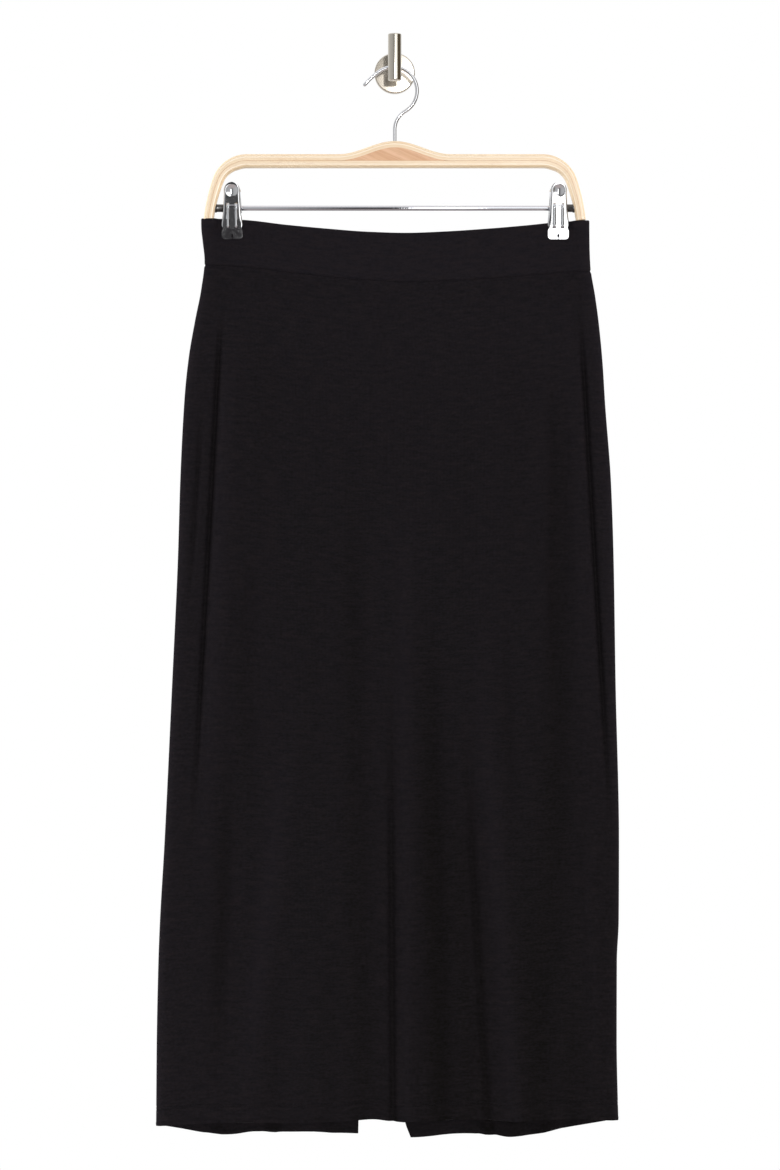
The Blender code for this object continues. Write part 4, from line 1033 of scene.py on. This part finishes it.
def cloth_piece(name, behind, rows, shares, node, wall, lightened=0.0):
    """A sheet of jersey from its rows, each (drop, edges, sunk at each share, how far past the hem).
    Lightened is how much less painted shade it takes than the skirt's."""
    grid, shades, flat_places = [], [], []
    down = 0.0
    for drop, edges, sunk, past in rows:
        points, _, along, folded = cloth_row(drop, behind, edges, shares, sunk)
        points[:, 2] -= past
        beside = np.minimum(along - along[0], along[-1] - along)
        # How much painted shade, and painted highlight, each point takes.
        shade_here = np.clip(painted_shade_at(drop, points[:, 0], beside, folded, behind) - lightened, 0.0, 0.95)
        if behind:
            points, along, shade_here = points[::-1], -along[::-1], shade_here[::-1]
        if grid:
            down += np.linalg.norm(points - grid[-1], axis=1).mean()
        grid.append(points)
        shades += list(shade_here)
        flat_places += [(x, -down) for x in along]
    bm = shaped_grid(grid)
    cut = bm.loops.layers.uv.new("cloth")
    # Stored on each point for the jersey's painted shade.
    painted_shade = bm.verts.layers.float.new("painted_shade")
    for vert, shade_here in zip(bm.verts, shades):
        vert[painted_shade] = shade_here
    for face in bm.faces:
        for loop in face.loops:
            loop[cut].uv = flat_places[loop.vert.index]
    bmesh.ops.reverse_faces(bm, faces=bm.faces)
    piece = put(bm, name, jersey, "black_jersey", node, crease=180)
    thin_wall(piece, wall, wall * 0.35, 62)
    return piece


# ---------------------------------------------------------------------------------------------
# The waistband: a strip of the jersey doubled over wide elastic, in two halves joined at the sides.
# Its top is a fold, and its foot is drawn in by the seam to the skirt.

BAND_WIDTH = 365 * MM


def whole_width(drop):
    return -looked_up(SECTIONS, drop, "left") - MM, looked_up(SECTIONS, drop, "right") + MM


def band_rows(shares):
    drops = np.concatenate([
        WAIST_DROP + np.array([0, 0.25, 0.6, 1.1, 2.0, 3.5]) * MM,
        np.linspace(WAIST_DROP + 6 * MM, SEAM_DROP - 6 * MM, 12),
        SEAM_DROP - np.array([4.0, 2.6, 1.7, 1.0, 0.5, 0.03]) * MM,
    ])
    sides = side_ditches(shares, BAND_WIDTH)
    rows = []
    for drop in drops:
        over = 0.5 * MM * (1 - smoothed((drop - WAIST_DROP) / (1.6 * MM))) ** 2
        sunk = np.maximum(sides, seam_ditch(SEAM_DROP - drop)) + over
        rows.append((drop, whole_width(drop), sunk, 0.0))
    return rows


shares = across_shares(BAND_WIDTH, 2 * MM)
for behind, name, node in ((False, "band_front", "waistband_front"), (True, "band_back", "waistband_back")):
    # The band takes 0.2 less painted shade than the skirt, so its colour is paler.
    piece = cloth_piece(name, behind, band_rows(shares), shares, node, BAND_WALL, 0.2)

# ---------------------------------------------------------------------------------------------
# The skirt's front, cut in one piece, and its two backs, joined down the middle as far as the slit.
# Each hem is turned up 15 mm inside and held by two lines of stitches.

HEM_FOLD = 1.35 * MM
HEM_STITCHES = (14.4 * MM, 16.9 * MM)
PANEL_ROWS = 144
FRONT_WIDTH = 400 * MM
BACK_WIDTH = 200 * MM


def panel_drops():
    """The levels of a panel's rows, closer together beside the waist seam and the hem's stitches."""
    top = SEAM_DROP + np.array([0.03, 0.5, 1.0, 1.7, 2.6, 4.0]) * MM
    stitched = HEM_DROP - np.array([18.5, 17.4, 16.9, 16.4, 15.6, 14.9, 14.4, 13.9, 13.0]) * MM
    body = np.linspace(SEAM_DROP + 7 * MM, HEM_DROP - 21 * MM, PANEL_ROWS)
    foot = HEM_DROP - np.array([10.0, 7.0, 4.0, 2.0, 0.8]) * MM
    return np.concatenate([top, body, stitched, foot])


def panel_rows(shares, edges_at, ditches):
    rows = []
    for drop in panel_drops():
        sunk = np.maximum(ditches(drop, shares), seam_ditch(drop - SEAM_DROP))
        for line in HEM_STITCHES:
            sunk = sunk + 0.22 * MM * math.exp(-(((HEM_DROP - line - drop) / (0.6 * MM)) ** 2))
        rows.append((drop, edges_at(drop), sunk, 0.0))
    edges = edges_at(HEM_DROP)
    for turned in np.radians((0, 30, 60, 90, 120, 150, 180)):
        sunk = np.full(len(shares), HEM_FOLD * (1 - math.cos(turned)))
        rows.append((HEM_DROP, edges, sunk, HEM_FOLD * (math.sin(turned) - 1)))
    for up in (3, 7, 11, 14, 15):
        drop = HEM_DROP - up * MM
        rows.append((drop, edges_at(drop), np.full(len(shares), 2 * HEM_FOLD), -HEM_FOLD))
    return rows


def stitch_lines(name, behind, edges_at, finish):
    """Two rows of short stitches round a hem, each lying on the cloth."""
    bm = bmesh.new()
    shares = np.linspace(0.004, 0.996, 900)
    sunk = np.full(len(shares), 0.12 * MM)
    for line in HEM_STITCHES:
        drop = HEM_DROP - line
        points, into, _, _ = cloth_row(drop, behind, edges_at(drop), shares, sunk)
        run = lengths_along(points)
        for start in np.arange(1.5 * MM, run[-1] - 3 * MM, 3.1 * MM):
            both = (start, start + 2.3 * MM)
            ends = [Vector([np.interp(at, run, points[:, i]) for i in range(3)]) for at in both]
            inward = Vector([*(np.interp(start, run, into[:, i]) for i in (0, 1)), 0]).normalized()
            along = ends[1] - ends[0]
            side = along.normalized().cross(inward).normalized()
            axes = Matrix((along.normalized(), side, -inward)).transposed().to_4x4()
            size = Matrix.Diagonal((along.length / 2, 0.26 * MM, 0.2 * MM, 1))
            matrix = Matrix.Translation((ends[0] + ends[1]) / 2) @ axes @ size
            bmesh.ops.create_uvsphere(bm, u_segments=6, v_segments=4, radius=1.0, matrix=matrix)
    return put(bm, name, finish, "black_jersey", crease=180)


# Black polyester sewing thread, as dark as the jersey: it shows as a fine row of grooves and bumps.
thread, tree, shader = new_finish(
    "black_polyester_thread", Base_Color="0B0A0C", Roughness=0.8, Specular_IOR_Level=0.1
)
place = add_node(tree, "TexCoord", out="Object")
plies = add_node(
    tree, "TexWave", {"Vector": place, "Scale": 520, "Distortion": 0.5},
    "Fac", wave_type="BANDS", bands_direction="DIAGONAL",
)
shade = add_node(tree, "Mix", {0: plies, 6: "0A090B", 7: "131114"}, 2, data_type="RGBA")
fill_sockets(tree, shader, {"Base Color": shade})


def front_ditches(drop, shares):
    return side_ditches(shares, FRONT_WIDTH)


shares = across_shares(FRONT_WIDTH, 1.85 * MM, ((0.02, 0.12), (0.47, 0.52), (0.88, 0.98)))
rows = panel_rows(shares, whole_width, front_ditches)
front = cloth_piece("front_panel", False, rows, shares, "skirt_front", PANEL_WALL)
sewn = stitch_lines("front_hem_stitches", False, whole_width, thread)

for side in ("left", "right"):

    def back_edges(drop, side=side):
        edge = slit_edge(drop, side)
        if side == "left":
            return whole_width(drop)[0], edge - 0.03 * MM
        return edge + 0.03 * MM, whole_width(drop)[1]

    def back_ditches(drop, shares, side=side):
        shut = 1 - smoothed((drop - 725 * MM) / (25 * MM))
        return side_ditches(shares, BACK_WIDTH, *((1, shut) if side == "left" else (shut, 1)))

    creased = (0.04, 0.24) if side == "left" else (0.76, 0.96)
    shares = across_shares(BACK_WIDTH, 1.9 * MM, (creased,))
    rows = panel_rows(shares, back_edges, back_ditches)
    name = "back_panel_" + side
    back = cloth_piece(name, True, rows, shares, "skirt_back_" + side, PANEL_WALL)
    sewn = stitch_lines(f"back_hem_stitches_{side}", True, back_edges, thread)
